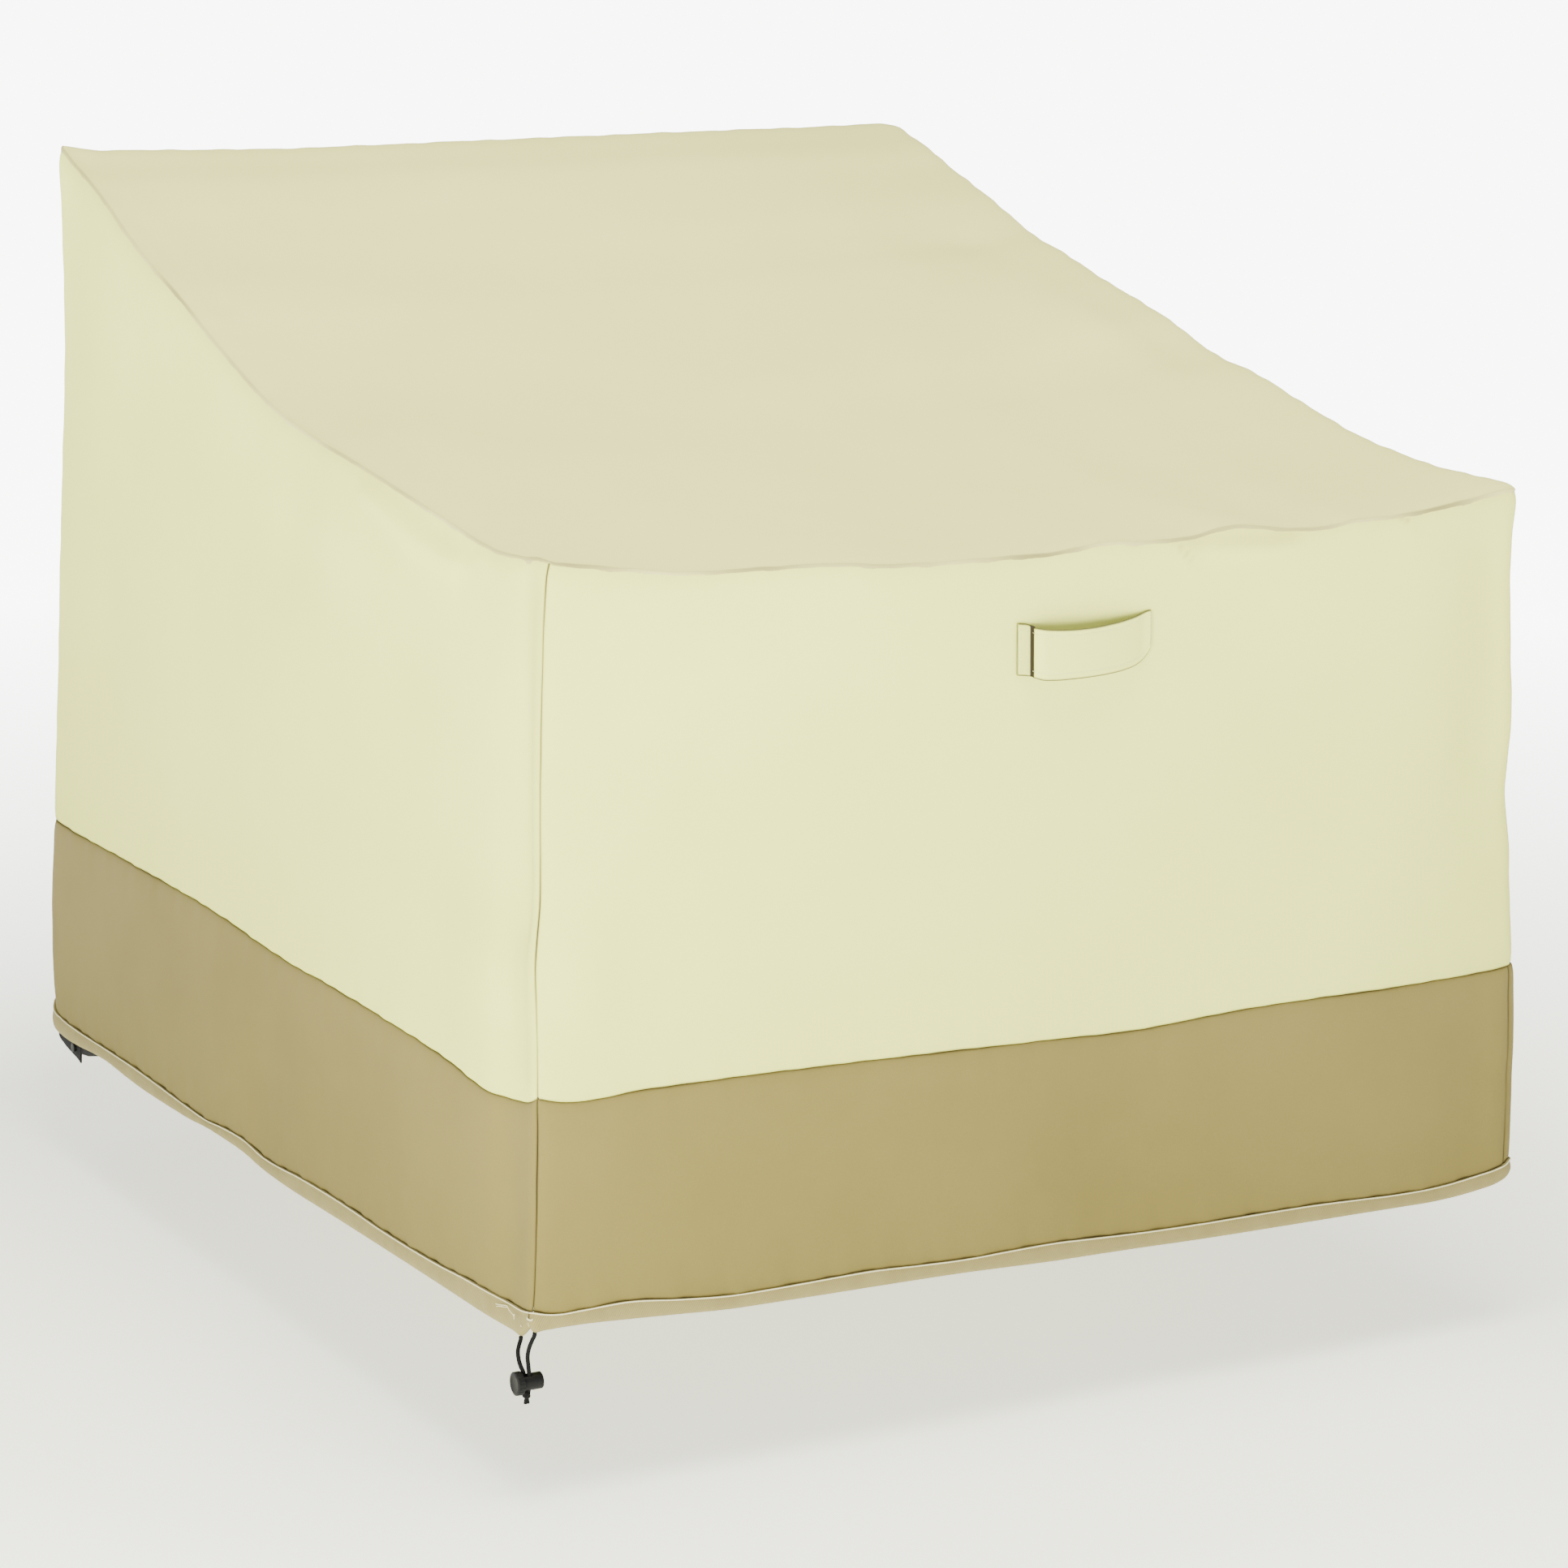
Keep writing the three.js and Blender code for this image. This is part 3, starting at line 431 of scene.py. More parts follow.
TOP_GROOVE = dict(groove=0.0011, narrow=0.0012, roll=0.0030, wide=0.010, ripple=0.00035, pitch=0.045)
CORNER_GROOVE = dict(groove=0.0014, narrow=0.0011, roll=0.0008, wide=0.006, ripple=0.0002, pitch=0.060)
BAND_GROOVE = dict(groove=0.0012, narrow=0.0012, roll=0.0006, wide=0.006, ripple=0.0004, pitch=0.038)
HEM_GROOVE = dict(groove=0.0008, narrow=0.0010, roll=0.0004, wide=0.005, ripple=0.0005, pitch=0.030)
seams = {}
for index, wall in enumerate(ORDER):
    before = ORDER[index - 1]
    wall_in = -np.array(SIDES[wall]["outward"])
    corner_in = wall_in - np.array(SIDES[before]["outward"])
    panel, band = grids[wall + "_panel"], grids["band_" + wall]
    seams[wall + "_top"] = Seam(panel[:, -1], wall_in + np.array((0, 0, -1)), **TOP_GROOVE)
    seams[wall + "_corner"] = Seam(panel[0], corner_in, **CORNER_GROOVE)
    seams[wall + "_band"] = Seam(panel[:, 0], wall_in, **BAND_GROOVE)
    seams[wall + "_band_corner"] = Seam(band[0], corner_in, **CORNER_GROOVE)
    seams[wall + "_hem"] = Seam(band[:, 0], wall_in, **HEM_GROOVE)


EDGE_STATIONS = np.array([0, 0.0006, 0.0013, 0.0021, 0.0031, 0.0045, 0.0065, 0.0095])


def fine_stations(length, step):
    """Stations for a fine grid: close together at both edges, even between."""
    inset = EDGE_STATIONS[-1]
    middle = np.linspace(inset, length - inset, max(2, round((length - 2 * inset) / step)) + 1)
    return np.concatenate([EDGE_STATIONS[:-1], middle, (length - EDGE_STATIONS[:-1])[::-1]])


def mean_lengths(grid):
    """Mean distance along a grid's columns of points, for its first axis."""
    return added_up(np.linalg.norm(np.diff(grid, axis=0), axis=2).mean(1))


def grid_faces(wide, tall):
    """Faces between the points of a grid, which are counted column by column."""
    index = np.arange(wide * tall).reshape(wide, tall)
    return np.stack([index[:-1, :-1], index[1:, :-1], index[1:, 1:], index[:-1, 1:]], axis=2).reshape(-1, 4)


def fold_height(places, folds):
    """Height of soft folds over the cloth. Each runs along a path, with its half widths to the right and
    the left."""
    height = np.zeros(len(places))
    for path, left, right, rise in folds:
        best = np.full(len(places), 1e9)
        side = np.zeros(len(places))
        path = np.array(path, dtype=float) / 1000
        for start, finish in zip(path, path[1:]):
            run = finish - start
            share = np.clip(((places - start) @ run) / (run @ run), 0, 1)
            offset = places - start - share[:, None] * run
            distance = np.linalg.norm(offset, axis=1)
            nearer = distance < best
            best[nearer] = distance[nearer]
            side[nearer] = (run[0] * offset[:, 1] - run[1] * offset[:, 0])[nearer]
        width = np.where(side > 0, left, right) / 1000
        height += rise / 1000 * np.exp(-((best / width) ** 2))
    return height


def smooth_step(value):
    value = np.clip(value, 0, 1)
    return value * value * (3 - 2 * value)


# Painted shade along the seams: a fine dark line, and a soft shade band beside it, mixed into the cloth's
# colour.
SEAM_SHADE_LINE_WIDTH = 0.0011
SHADE_WIDTH = 0.007
SHADE_DEPTH = 0.06
CORNER_TAPER = 0.016
FOLD_FADE = 0.022


def painted_seam_shade(distance, share, from_foot):
    """Painted shade along a seam, in the cloth's colour: a fine dark line that comes and goes, and a
    soft shade beside it."""
    x, y, z = from_foot.transpose(2, 0, 1)
    uneven = np.sin(41 * x + 2.1 * np.sin(17 * y) + 33 * z) * np.sin(9 * x - 13 * y + 7 * z + 0.8)
    line = share * (0.66 + 0.34 * uneven) * np.exp(-((distance / SEAM_SHADE_LINE_WIDTH) ** 2))
    return line + SHADE_DEPTH * np.exp(-((distance / SHADE_WIDTH) ** 2))


def turned_in(inward, along):
    """The allowance behind a seam, narrower toward the corners of the cloth."""
    reach = np.minimum(along, along[::-1]) / CORNER_TAPER
    return ALLOWANCE * reach.clip(0.1, 1)[:, None] * inward


def cloth_sheet(name, grid, step, near_seams, edge_seams, folds, axes, quiet, painted_marks, shares, tuck=None):
    """A fine sheet over a grid, with its folds and seams. Folds fade out at the seams named in quiet.
    Shares say how dark the painted shade line is at the start, the finish, the low and the high edge, and
    the marks are paths of painted shade. Tuck is where the low edge goes, if not straight behind its seam."""
    columns = mean_lengths(grid)
    rows = mean_lengths(grid.transpose(1, 0, 2))
    fine_columns = fine_stations(columns[-1], step)
    fine_rows = fine_stations(rows[-1], step)
    fine = through(grid, columns, fine_columns)
    fine = through(fine.transpose(1, 0, 2), rows, fine_rows).transpose(1, 0, 2)
    normals = np.cross(np.gradient(fine, axis=0), np.gradient(fine, axis=1))
    normals /= np.linalg.norm(normals, axis=2)[:, :, None]
    shape = fine.shape
    points = fine.reshape(-1, 3)
    fade = np.ones(len(points))
    for seam in quiet:
        fade *= smooth_step(seams[seam].near(points)[0] / FOLD_FADE)
    from_foot = points - np.array(FOOT)
    height = fold_height(from_foot[:, axes], folds) * fade
    moved = points + normals.reshape(-1, 3) * height[:, None]
    for seam in near_seams:
        moved += seams[seam].pull(points)
    fine = moved.reshape(shape)
    start, finish, low, high = [seams[edge].inward for edge in edge_seams]
    if tuck is not None:
        low = np.array(tuck)
    first, last = fine[:1] + turned_in(start, fine_rows), fine[-1:] + turned_in(finish, fine_rows)
    fine = np.concatenate([first, fine, last])
    across = np.concatenate([[0], fine_columns, [fine_columns[-1]]])
    low_edge = fine[:, 0] + turned_in(low, across)
    high_edge = fine[:, -1] + turned_in(high, across)
    fine = np.concatenate([low_edge[:, None], fine, high_edge[:, None]], axis=1)
    u = np.concatenate([[-ALLOWANCE], fine_columns, [columns[-1] + ALLOWANCE]])
    v = np.concatenate([[-ALLOWANCE], fine_rows, [rows[-1] + ALLOWANCE]])
    across, upward = np.meshgrid(u, v, indexing="ij")
    places = np.stack([across, upward], axis=2).reshape(-1, 2)
    faces = grid_faces(len(u), len(v))
    from_foot = fine - np.array(FOOT)
    gaps = [across, u[-1] - ALLOWANCE - across, upward, v[-1] - ALLOWANCE - upward]
    # Painted shade in the colour: dark lines along the seams, and the listed marks of painted shade.
    depth = np.zeros(fine.shape[:2])
    for gap, share in zip(gaps, shares):
        depth = np.maximum(depth, painted_seam_shade(gap.clip(0), share, from_foot))
    flat_places = from_foot.reshape(-1, 3)[:, axes]
    for path, width, shade in painted_marks:
        depth += shade * fold_height(flat_places, [(path, width, width, 1000)]).reshape(depth.shape)
    made = mesh_object(name, fine.reshape(-1, 3), faces.tolist(), places, depth.clip(0, 1))
    thicken(made, CLOTH_THICKNESS)
    flat = (float(u[-1] - u[0]), float(v[-1] - v[0]))
    corner = fine[:-1, :-1]
    cells = np.linalg.norm(np.cross(fine[1:, :-1] - corner, fine[:-1, 1:] - corner), axis=2)
    return made, flat, float(cells.sum())


def thicken(made, thickness):
    """Gives a sheet its thickness on its inner side."""
    bpy.ops.object.select_all(action="DESELECT")
    bpy.context.view_layer.objects.active = made
    made.select_set(True)
    solidify = made.modifiers.new("thickness", "SOLIDIFY")
    solidify.thickness = thickness
    solidify.offset = -1
    bpy.ops.object.modifier_apply(modifier=solidify.name)


CREAM = (0.755, 0.80, 0.195, 1)
CREAM_SHADE = (0.69, 0.73, 0.168, 1)
# Painted shade colour, mixed into the cream where seams, creases and folds would lie in shade.
CREAM_PAINTED_SHADE = (0.11, 0.082, 0.034, 1)
THREAD_PITCH = 0.00055
THREAD_DEPTH = 0.00008
WRINKLE_DEPTH = 0.004
CLOTH_SPECULAR = 0.08


def woven_material(name, colour, shade, painted_shade_colour, roughness):
    """Plain-weave coated cloth: threads along both ways of the cloth, faint clouds of tone, and painted shade
    mixed into its colour where the vertex attribute says.
    creases."""
    material, shader, cloth_place, place = new_material(name)
    warp = cloth_place.axis("X").wave(THREAD_PITCH)
    weft = cloth_place.axis("Y").wave(THREAD_PITCH)
    threads = warp.math("MAXIMUM", warp, weft)
    clouds = place.noise(5.0, 4.0, 0.55)
    fibre = place.noise(900.0, 1.0)
    # Painted shade: how far the colour goes toward the shade colour, from the sheet's own attribute.
    painted_shading = place.node("ShaderNodeAttribute", {"attribute_name": "painted_shading"}, {}, "Fac")
    tone = (clouds * 0.75 + fibre * 0.25).between(0.3, 0.7, shade, colour)
    feed(shader, "Base Color", tone.toward(painted_shading, painted_shade_colour))
    wrinkle = place.noise(22.0, 4.0, 0.6).bump(WRINKLE_DEPTH, 0.10)
    feed(shader, "Normal", threads.bump(THREAD_DEPTH, 0.5, wrinkle))
    shader.inputs["Roughness"].default_value = roughness
    shader.inputs["Specular IOR Level"].default_value = CLOTH_SPECULAR
    return material


cream_cloth = woven_material("cream_cloth", CREAM, CREAM_SHADE, CREAM_PAINTED_SHADE, 0.70)

# The walls' folds, in millimetres from the foot: along the wall, and height. Each has a path, the half widths
# to its left and right, and its rise out of the wall. Marks of painted shade have a path, a half width and a
# depth of shade.
FRONT_FOLDS = [
    ([(112, 549), (139, 545), (190, 541), (214, 546)], 7, 9, 4.0),
    ([(105, 547), (117, 532), (124, 520)], 4, 6, 0.9),
    ([(322, 552), (327, 538)], 4, 6, 1.2),
    ([(400, 520), (412, 440), (408, 360)], 30, 30, -5),
]
FRONT_PAINTED_SHADE = [
    # Painted shade: the fold's facet below the front seam, a small crease and a pleat.
    ([(118, 548), (150, 546), (190, 544), (212, 547)], 7, 0.13),
    ([(105, 549), (117, 532)], 1.8, 0.22),
    ([(310, 557), (322, 551)], 2.0, 0.30),
    # Painted shade: the front darkens toward its right end, where the light falls off.
    ([(440, 560), (440, 190)], 80, 0.13),
    # Painted shadow on the wall behind the handle's strap.
    ([(-4, 473), (30, 475), (60, 480)], 9, 0.42),
]
LEFT_PAINTED_SHADE = [
    # Painted shade: a soft band beside the front corner.
    ([(9, 545), (10, 400), (9, 190)], 8, 0.10),
    # Painted shade: the wall darkens toward the back.
    ([(930, 720), (980, 500), (985, 200)], 70, 0.07),
]
PAINTED_SHADE_PATHS = {"front": FRONT_PAINTED_SHADE, "right": [], "back": [], "left": LEFT_PAINTED_SHADE}
LEFT_FOLDS = [
    ([(311, 584), (228, 556), (154, 545)], 14, 18, 4),
    ([(289, 596), (201, 571), (130, 563)], 10, 9, -3),
    ([(34, 560), (28, 456), (22, 300)], 12, 16, -3),
]
RIGHT_FOLDS = [
    ([(330, 590), (240, 562), (160, 548)], 14, 18, 4),
]
BACK_FOLDS = [
    ([(-300, 700), (-330, 560), (-310, 420)], 26, 34, 4),
    ([(280, 720), (320, 580), (300, 430)], 30, 24, 4),
]
FOLDS = {"front": FRONT_FOLDS, "right": RIGHT_FOLDS, "back": BACK_FOLDS, "left": LEFT_FOLDS}
WALL_STEP = {"front": 0.0048, "right": 0.0065, "back": 0.0065, "left": 0.0052}
WALL_AXES = {"front": [0, 2], "right": [1, 2], "back": [0, 2], "left": [1, 2]}

cloth_sheets = []
for index, wall in enumerate(ORDER):
    before, after = ORDER[index - 1], ORDER[(index + 1) % 4]
    name = wall + "_panel"
    corners = [wall + "_corner", after + "_corner"]
    near = corners + [side + line for side in (wall, before, after) for line in ("_top", "_band")]
    edges = corners + [wall + "_band", wall + "_top"]
    made, flat, area = cloth_sheet(
        wall + "_wall", grids[name], WALL_STEP[wall], near, edges, FOLDS[wall], WALL_AXES[wall],
        corners + [wall + "_top"], PAINTED_SHADE_PATHS[wall], (0.95, 0.95, 0.85, 0.70),
    )
    finish_piece(made, cream_cloth, "cream_cloth", name)
    cloth_sheets.append((made, flat, area))


# Top panel
# One cut piece of the same cloth, from the front seam over the low front and up to the high back. It
# hangs a little slack between its seams.
# Painted light: the top's cream is a lighter, less yellow copy of the walls' cream, set for how the light
# falls on its upward face.
TOP_PAINTED_LIGHT_CREAM = (0.84, 0.82, 0.31, 1)
TOP_SHADE = (0.785, 0.76, 0.275, 1)
top_cloth = woven_material("top_cloth", TOP_PAINTED_LIGHT_CREAM, TOP_SHADE, CREAM_PAINTED_SHADE, 0.70)
TOP_FOLDS = [
    ([(-415, 985), (-412, 900), (-402, 820), (-398, 700)], 9, 14, 2.0),
]
TOP_SEAMS = [wall + "_top" for wall in ORDER]
CORNER_SEAMS = [wall + "_corner" for wall in ORDER]
made, flat, area = cloth_sheet(
    "top_sheet", grids["top_panel"], 0.0062, TOP_SEAMS + CORNER_SEAMS,
    ["left_top", "right_top", "front_top", "back_top"], TOP_FOLDS, [0, 1], TOP_SEAMS, [],
    (0.7, 0.5, 0.6, 0.5),
)
finish_piece(made, top_cloth, "cream_top", "top_panel")
cloth_sheets.append((made, flat, area))


# Tan band
# Four strips of the same coated polyester cloth in tan, one to a side. Each is sewn to its wall above, to
# the next strips at the corners, and to the hem tape below, behind which its lower allowance hangs.
TAN = (0.200, 0.163, 0.050, 1)
TAN_SHADE = (0.168, 0.136, 0.039, 1)
# Painted shade colour of the tan, for its seams.
TAN_PAINTED_SHADE = (0.035, 0.026, 0.010, 1)
tan_cloth = woven_material("tan_cloth", TAN, TAN_SHADE, TAN_PAINTED_SHADE, 0.66)
for index, wall in enumerate(ORDER):
    before, after = ORDER[index - 1], ORDER[(index + 1) % 4]
    name = "band_" + wall
    corners = [wall + "_band_corner", after + "_band_corner"]
    near = corners + [side + line for side in (wall, before, after) for line in ("_band", "_hem")]
    edges = corners + [wall + "_hem", wall + "_band"]
    made, flat, area = cloth_sheet(
        wall + "_band", grids[name], 0.0055, near, edges, FOLDS[wall], WALL_AXES[wall], corners, [],
        (0.9, 0.9, 0.9, 0.6), seams[wall + "_hem"].inward * 0.25 + np.array((0, 0, -1.2)),
    )
    finish_piece(made, tan_cloth, "tan_cloth", name)
    cloth_sheets.append((made, flat, area))


# Hem tape
# Cotton twill tape folded over the lower edge of the band. One thick off-white thread along its top sews
# it on, and the fold is the drawcord's channel. Its two ends are turned in at the slit in the front left
# corner.
TAPE_STEP = 0.0032
TAPE_WIDTH = 0.0130
TAPE_CRUMPLE = 0.00032
END_PINCH = 0.55
END_REACH = 0.0015
PAINTED_RIM_REACH = 0.0008
TAPE_COLOUR = (0.29, 0.245, 0.098, 1)
TAPE_SHADE = (0.20, 0.167, 0.060, 1)
# Painted highlight and painted shade colours of the tape's ends at the slit.
TAPE_PAINTED_HIGHLIGHT = (0.55, 0.50, 0.28, 1)
TAPE_PAINTED_SHADE = (0.06, 0.045, 0.016, 1)
THREAD_COLOUR = (0.7606, 0.7157, 0.4910, 1)
RIB_PITCH = 0.0016
# The folded section, in millimetres: its share of the tape's height, and its depth behind the outer face.
TAPE_SECTION = [
    (0.995, 1.0), (1.0, 0.30), (0.975, -0.25), (0.93, -0.15), (0.88, 0.25), (0.80, 0.10), (0.66, -0.05),
    (0.50, -0.30), (0.34, -0.55), (0.20, -0.45), (0.09, 0.05), (0.02, 0.85), (-0.01, 1.9), (0.03, 3.0),
    (0.14, 3.8), (0.40, 4.1), (0.70, 3.5), (0.96, 2.6),
]


def outward_ways(line):
    """Outward ways of a level run of points round the cover."""
    heading = np.gradient(line, axis=0)
    heading /= np.linalg.norm(heading, axis=1)[:, None]
    outward = np.cross(heading, (0, 0, 1))
    for _ in range(2):
        outward[1:-1] = outward[:-2] + 2 * outward[1:-1] + outward[2:]
        outward /= np.linalg.norm(outward, axis=1)[:, None]
    return outward


def wrinkle(along, across):
    """Uneven small waves over a strip, between about -1 and 1."""
    waves = np.sin(along * 690 + across * 1.7) * np.sin(along * 61 + 0.7)
    waves += np.sin(along * 410 - across * 2.3 + 1.1) * np.sin(along * 37 + 2.0)
    return 0.5 * waves + 0.4 * np.sin(along * 233 + across)


tape_grid = sheet_grid("hem_tape", (1, 3, 1))
tape_lengths = mean_lengths(tape_grid)
end_steps = np.array([0, 0.0004, 0.0008, 0.0013, 0.0020])
even_steps = np.linspace(TAPE_STEP, tape_lengths[-1] - TAPE_STEP, round(tape_lengths[-1] / TAPE_STEP))
tape_stations = np.concatenate([end_steps, even_steps, (tape_lengths[-1] - end_steps)[::-1]])
tape = through(tape_grid, tape_lengths, tape_stations)
tape_low, tape_middle, tape_high = tape[:, 0], tape[:, 1], tape[:, 2]
tape_out = outward_ways(tape_middle)


def tape_point(share, depth):
    """Points all along the tape at a share of its height, this far behind its outer face."""
    bow = 4 * share * (1 - share) if 0 < share < 1 else 0.0
    flat = tape_low + (tape_high - tape_low) * share
    middle = tape_low + (tape_high - tape_low) * 0.5
    return flat + (tape_middle - middle) * bow - tape_out * depth


end_gap = np.minimum(tape_stations, tape_stations[-1] - tape_stations)
end_pinch = 1 - END_PINCH * np.exp(-end_gap / END_REACH)
tape_points, tape_places = [], []
section_run = 0.0
before = None
for share, depth in TAPE_SECTION:
    if before is not None:
        section_run += math.hypot((share - before[0]) * TAPE_WIDTH, (depth - before[1]) / 1000)
    before = (share, depth)
    swell = math.sin(math.pi * min(max(share, 0), 1)) ** 0.5
    crumple = TAPE_CRUMPLE * wrinkle(tape_stations, share * 3) * swell
    soft = (depth / 1000) * end_pinch
    points = tape_point(share, 0) - tape_out * (soft - crumple)[:, None]
    tape_points.append(points)
    tape_places.append(np.stack([tape_stations, np.full(len(tape_stations), section_run)], axis=1))
tape_points = np.stack(tape_points, axis=1)
tape_places = np.stack(tape_places, axis=1)
tape_faces = ring_faces(len(tape_stations), len(TAPE_SECTION))
# Painted highlight on its turned-in ends along the slit, and painted shade above it, in the tape's colour.
rim_painted_light = np.array([0.5 if share < 0.45 else -0.9 for share, depth in TAPE_SECTION])
tape_painted_light = np.outer(np.exp(-((end_gap / PAINTED_RIM_REACH) ** 2)), rim_painted_light)
hem = mesh_object(
    "hem_binding", tape_points.reshape(-1, 3), tape_faces, tape_places.reshape(-1, 2), tape_painted_light,
)


def twill_material():
    material, shader, cloth_place, place = new_material("twill_tape")
    along = cloth_place.axis("X")
    across = cloth_place.axis("Y")
    ribs = (along * 0.87 + across * 0.5).wave(RIB_PITCH)
    threads = (along * 0.5 - across * 0.87).wave(RIB_PITCH * 0.45)
    weave = ribs * 0.7 + threads * 0.3
    clouds = place.noise(60.0, 3.0)
    tone = weave * 0.55 + clouds * 0.45
    # Painted highlight where the attribute is above nought, painted shade where it is below.
    rim = place.node("ShaderNodeAttribute", {"attribute_name": "painted_shading"}, {}, "Fac")
    pale = tone.between(0.25, 0.75, TAPE_SHADE, TAPE_COLOUR).toward(rim, TAPE_PAINTED_HIGHLIGHT)
    feed(shader, "Base Color", pale.toward(rim * -1.0, TAPE_PAINTED_SHADE))
    crumple = place.noise(140.0, 3.0).bump(0.0012, 0.25)
    feed(shader, "Normal", weave.bump(0.00025, 0.6, crumple))
    shader.inputs["Roughness"].default_value = 0.85
    shader.inputs["Sheen Weight"].default_value = 0.05
    shader.inputs["Specular IOR Level"].default_value = 0.2
    return material


def thread_material(name, colour, shade):
    """Twisted sewing thread."""
    material, shader, cloth_place, _ = new_material(name)
    twist = (cloth_place.axis("Y") + cloth_place.axis("X") * 0.8).wave(0.0007)
    feed(shader, "Base Color", twist.between(0.1, 0.9, shade, colour))
    feed(shader, "Normal", twist.bump(0.0001, 0.6))
    shader.inputs["Roughness"].default_value = 0.6
    return material


twill = twill_material()
THREAD_SHADE = (0.6038, 0.5520, 0.3419, 1)
thread = thread_material("off_white_thread", THREAD_COLOUR, THREAD_SHADE)
finish_piece(hem, twill, "twill_tape", "hem_tape")

STITCH = 0.0042
THREAD_RADIUS = 0.00052
THREAD_SIDES = 6
THREAD_STEP = 0.0011
THREAD_LEVEL = 0.965
THREAD_STAND = 0.00055
THREAD_BOW = 0.00012
thread_rise = THREAD_BOW * np.abs(np.sin(math.pi * tape_stations / STITCH))
thread_line = tape_point(THREAD_LEVEL, 0) + tape_out * (THREAD_STAND + thread_rise)[:, None]


def stitched_radius(at, angle):
    return THREAD_RADIUS * (0.94 + 0.12 * abs(math.sin(math.pi * at / STITCH)))


topstitch, _ = tube("hem_topstitch", thread_line, stitched_radius, THREAD_SIDES, THREAD_STEP)
finish_piece(topstitch, thread, "twill_tape")


# Slit
# The tape's two ends are held together above the slit by a short bar of thread, and the cut ends of the
# sewing thread stick out beside it.
TUFT_RADIUS = 0.00032
TUFT_STEP = 0.0006
# Points from the foot: each strand of thread lies on the tape, and its cut ends stand off it.
TUFTS = [
    [(-0.4480, -0.0042, 0.0110), (-0.4476, -0.0058, 0.0102), (-0.4462, -0.0072, 0.0098),
     (-0.4446, -0.0075, 0.0104)],
    [(-0.4478, -0.0036, 0.0098), (-0.4474, -0.0056, 0.0092), (-0.4462, -0.0070, 0.0090),
     (-0.4448, -0.0074, 0.0094)],
    [(-0.4486, 0.0485, 0.0056), (-0.4478, 0.0440, 0.0062), (-0.4474, 0.0380, 0.0076),
     (-0.4472, 0.0320, 0.0090)],
    [(-0.4484, 0.0475, 0.0040), (-0.4478, 0.0430, 0.0053), (-0.4474, 0.0375, 0.0064),
     (-0.4472, 0.0310, 0.0080)],
    [(-0.4472, 0.0315, 0.0088), (-0.4473, 0.0280, 0.0071), (-0.4475, 0.0235, 0.0061),
     (-0.4477, 0.0180, 0.0055)],
    [(-0.4476, 0.0200, 0.0057), (-0.4480, 0.0175, 0.0060), (-0.4486, 0.0160, 0.0074)],
    [(-0.4476, 0.0200, 0.0055), (-0.4480, 0.0178, 0.0046), (-0.4486, 0.0166, 0.0034)],
    [(-0.4475, 0.0068, 0.0016), (-0.4482, 0.0062, 0.0012), (-0.4476, 0.0056, 0.0010)],
]
tuft_parts = []
for index, points in enumerate(TUFTS):
    route = place_all(points)
    made, _ = tube("thread_end_" + str(index), route, lambda at, angle: TUFT_RADIUS, THREAD_SIDES, TUFT_STEP)
    tuft_parts.append(made)


def joined(name, parts):
    """One object of several, with its own mesh."""
    bpy.ops.object.select_all(action="DESELECT")
    for part in parts:
        part.select_set(True)
    bpy.context.view_layer.objects.active = parts[0]
    bpy.ops.object.join()
    parts[0].name = name
    parts[0].data.name = name
    return parts[0]


thread_ends = finish_piece(joined("slit_thread_ends", tuft_parts), thread, "twill_tape")


# Handle
# A carry strap of the cream cloth, folded double and sewn along both edges. It is sewn flat to the front
# at its right end and at the tab at its left, and bows off the wall between them.
STRAP_THICKNESS = 0.0020
STRAP_EDGE = 0.0009
STRAP_STEP = 0.0011
STRAP_ROWS = 34
ROW_DEPTH = 0.0003
ROW_WIDTH = 0.0011
SLOT_TURN = -0.55
SLOT_STAND = 0.0068
STITCH_PITCH = 0.0026
STITCH_LENGTH = 0.0019
STITCH_RADIUS = 0.00024
STITCH_RINGS = 6
STITCH_SIDES = 6
STITCH_INSET_TOP = 0.0044
STITCH_INSET_LOW = 0.0052
handle_grid = sheet_grid("handle", (1, 0, 1), (0, -1, 0), 1.2)
handle_lengths = mean_lengths(handle_grid)
handle_count = round(handle_lengths[-1] / STRAP_STEP)
handle_stations = np.linspace(0, handle_lengths[-1], handle_count + 1)
strap = through(handle_grid, handle_lengths, handle_stations)
strap_heights = mean_lengths(handle_grid.transpose(1, 0, 2))


def strap_row(distance):
    """Points all along the strap at a distance above its lower edge."""
    place = np.array([distance])
    return through(strap.transpose(1, 0, 2), strap_heights, place)[0]


strap_width = strap_heights[-1]
strap_ahead = np.gradient(strap_row(strap_width / 2), axis=0)
strap_ahead /= np.linalg.norm(strap_ahead, axis=1)[:, None]
strap_up = strap_row(strap_width) - strap_row(0)
strap_up /= np.linalg.norm(strap_up, axis=1)[:, None]
strap_out = np.cross(strap_ahead, strap_up)
strap_out /= np.linalg.norm(strap_out, axis=1)[:, None]


def puff(distance):
    """How far the strap's face stands in at a distance from its lower edge: rounded edges and sunk stitch
    rows."""
    edge = min(distance, strap_width - distance)
    rounding = STRAP_EDGE * (1 - math.sqrt(max(0.0, 1 - (1 - min(edge / STRAP_EDGE, 1)) ** 2)))
    sunk = math.exp(-(((distance - STITCH_INSET_LOW) / ROW_WIDTH) ** 2))
    sunk += math.exp(-(((strap_width - distance - STITCH_INSET_TOP) / ROW_WIDTH) ** 2))
    return rounding + ROW_DEPTH * sunk


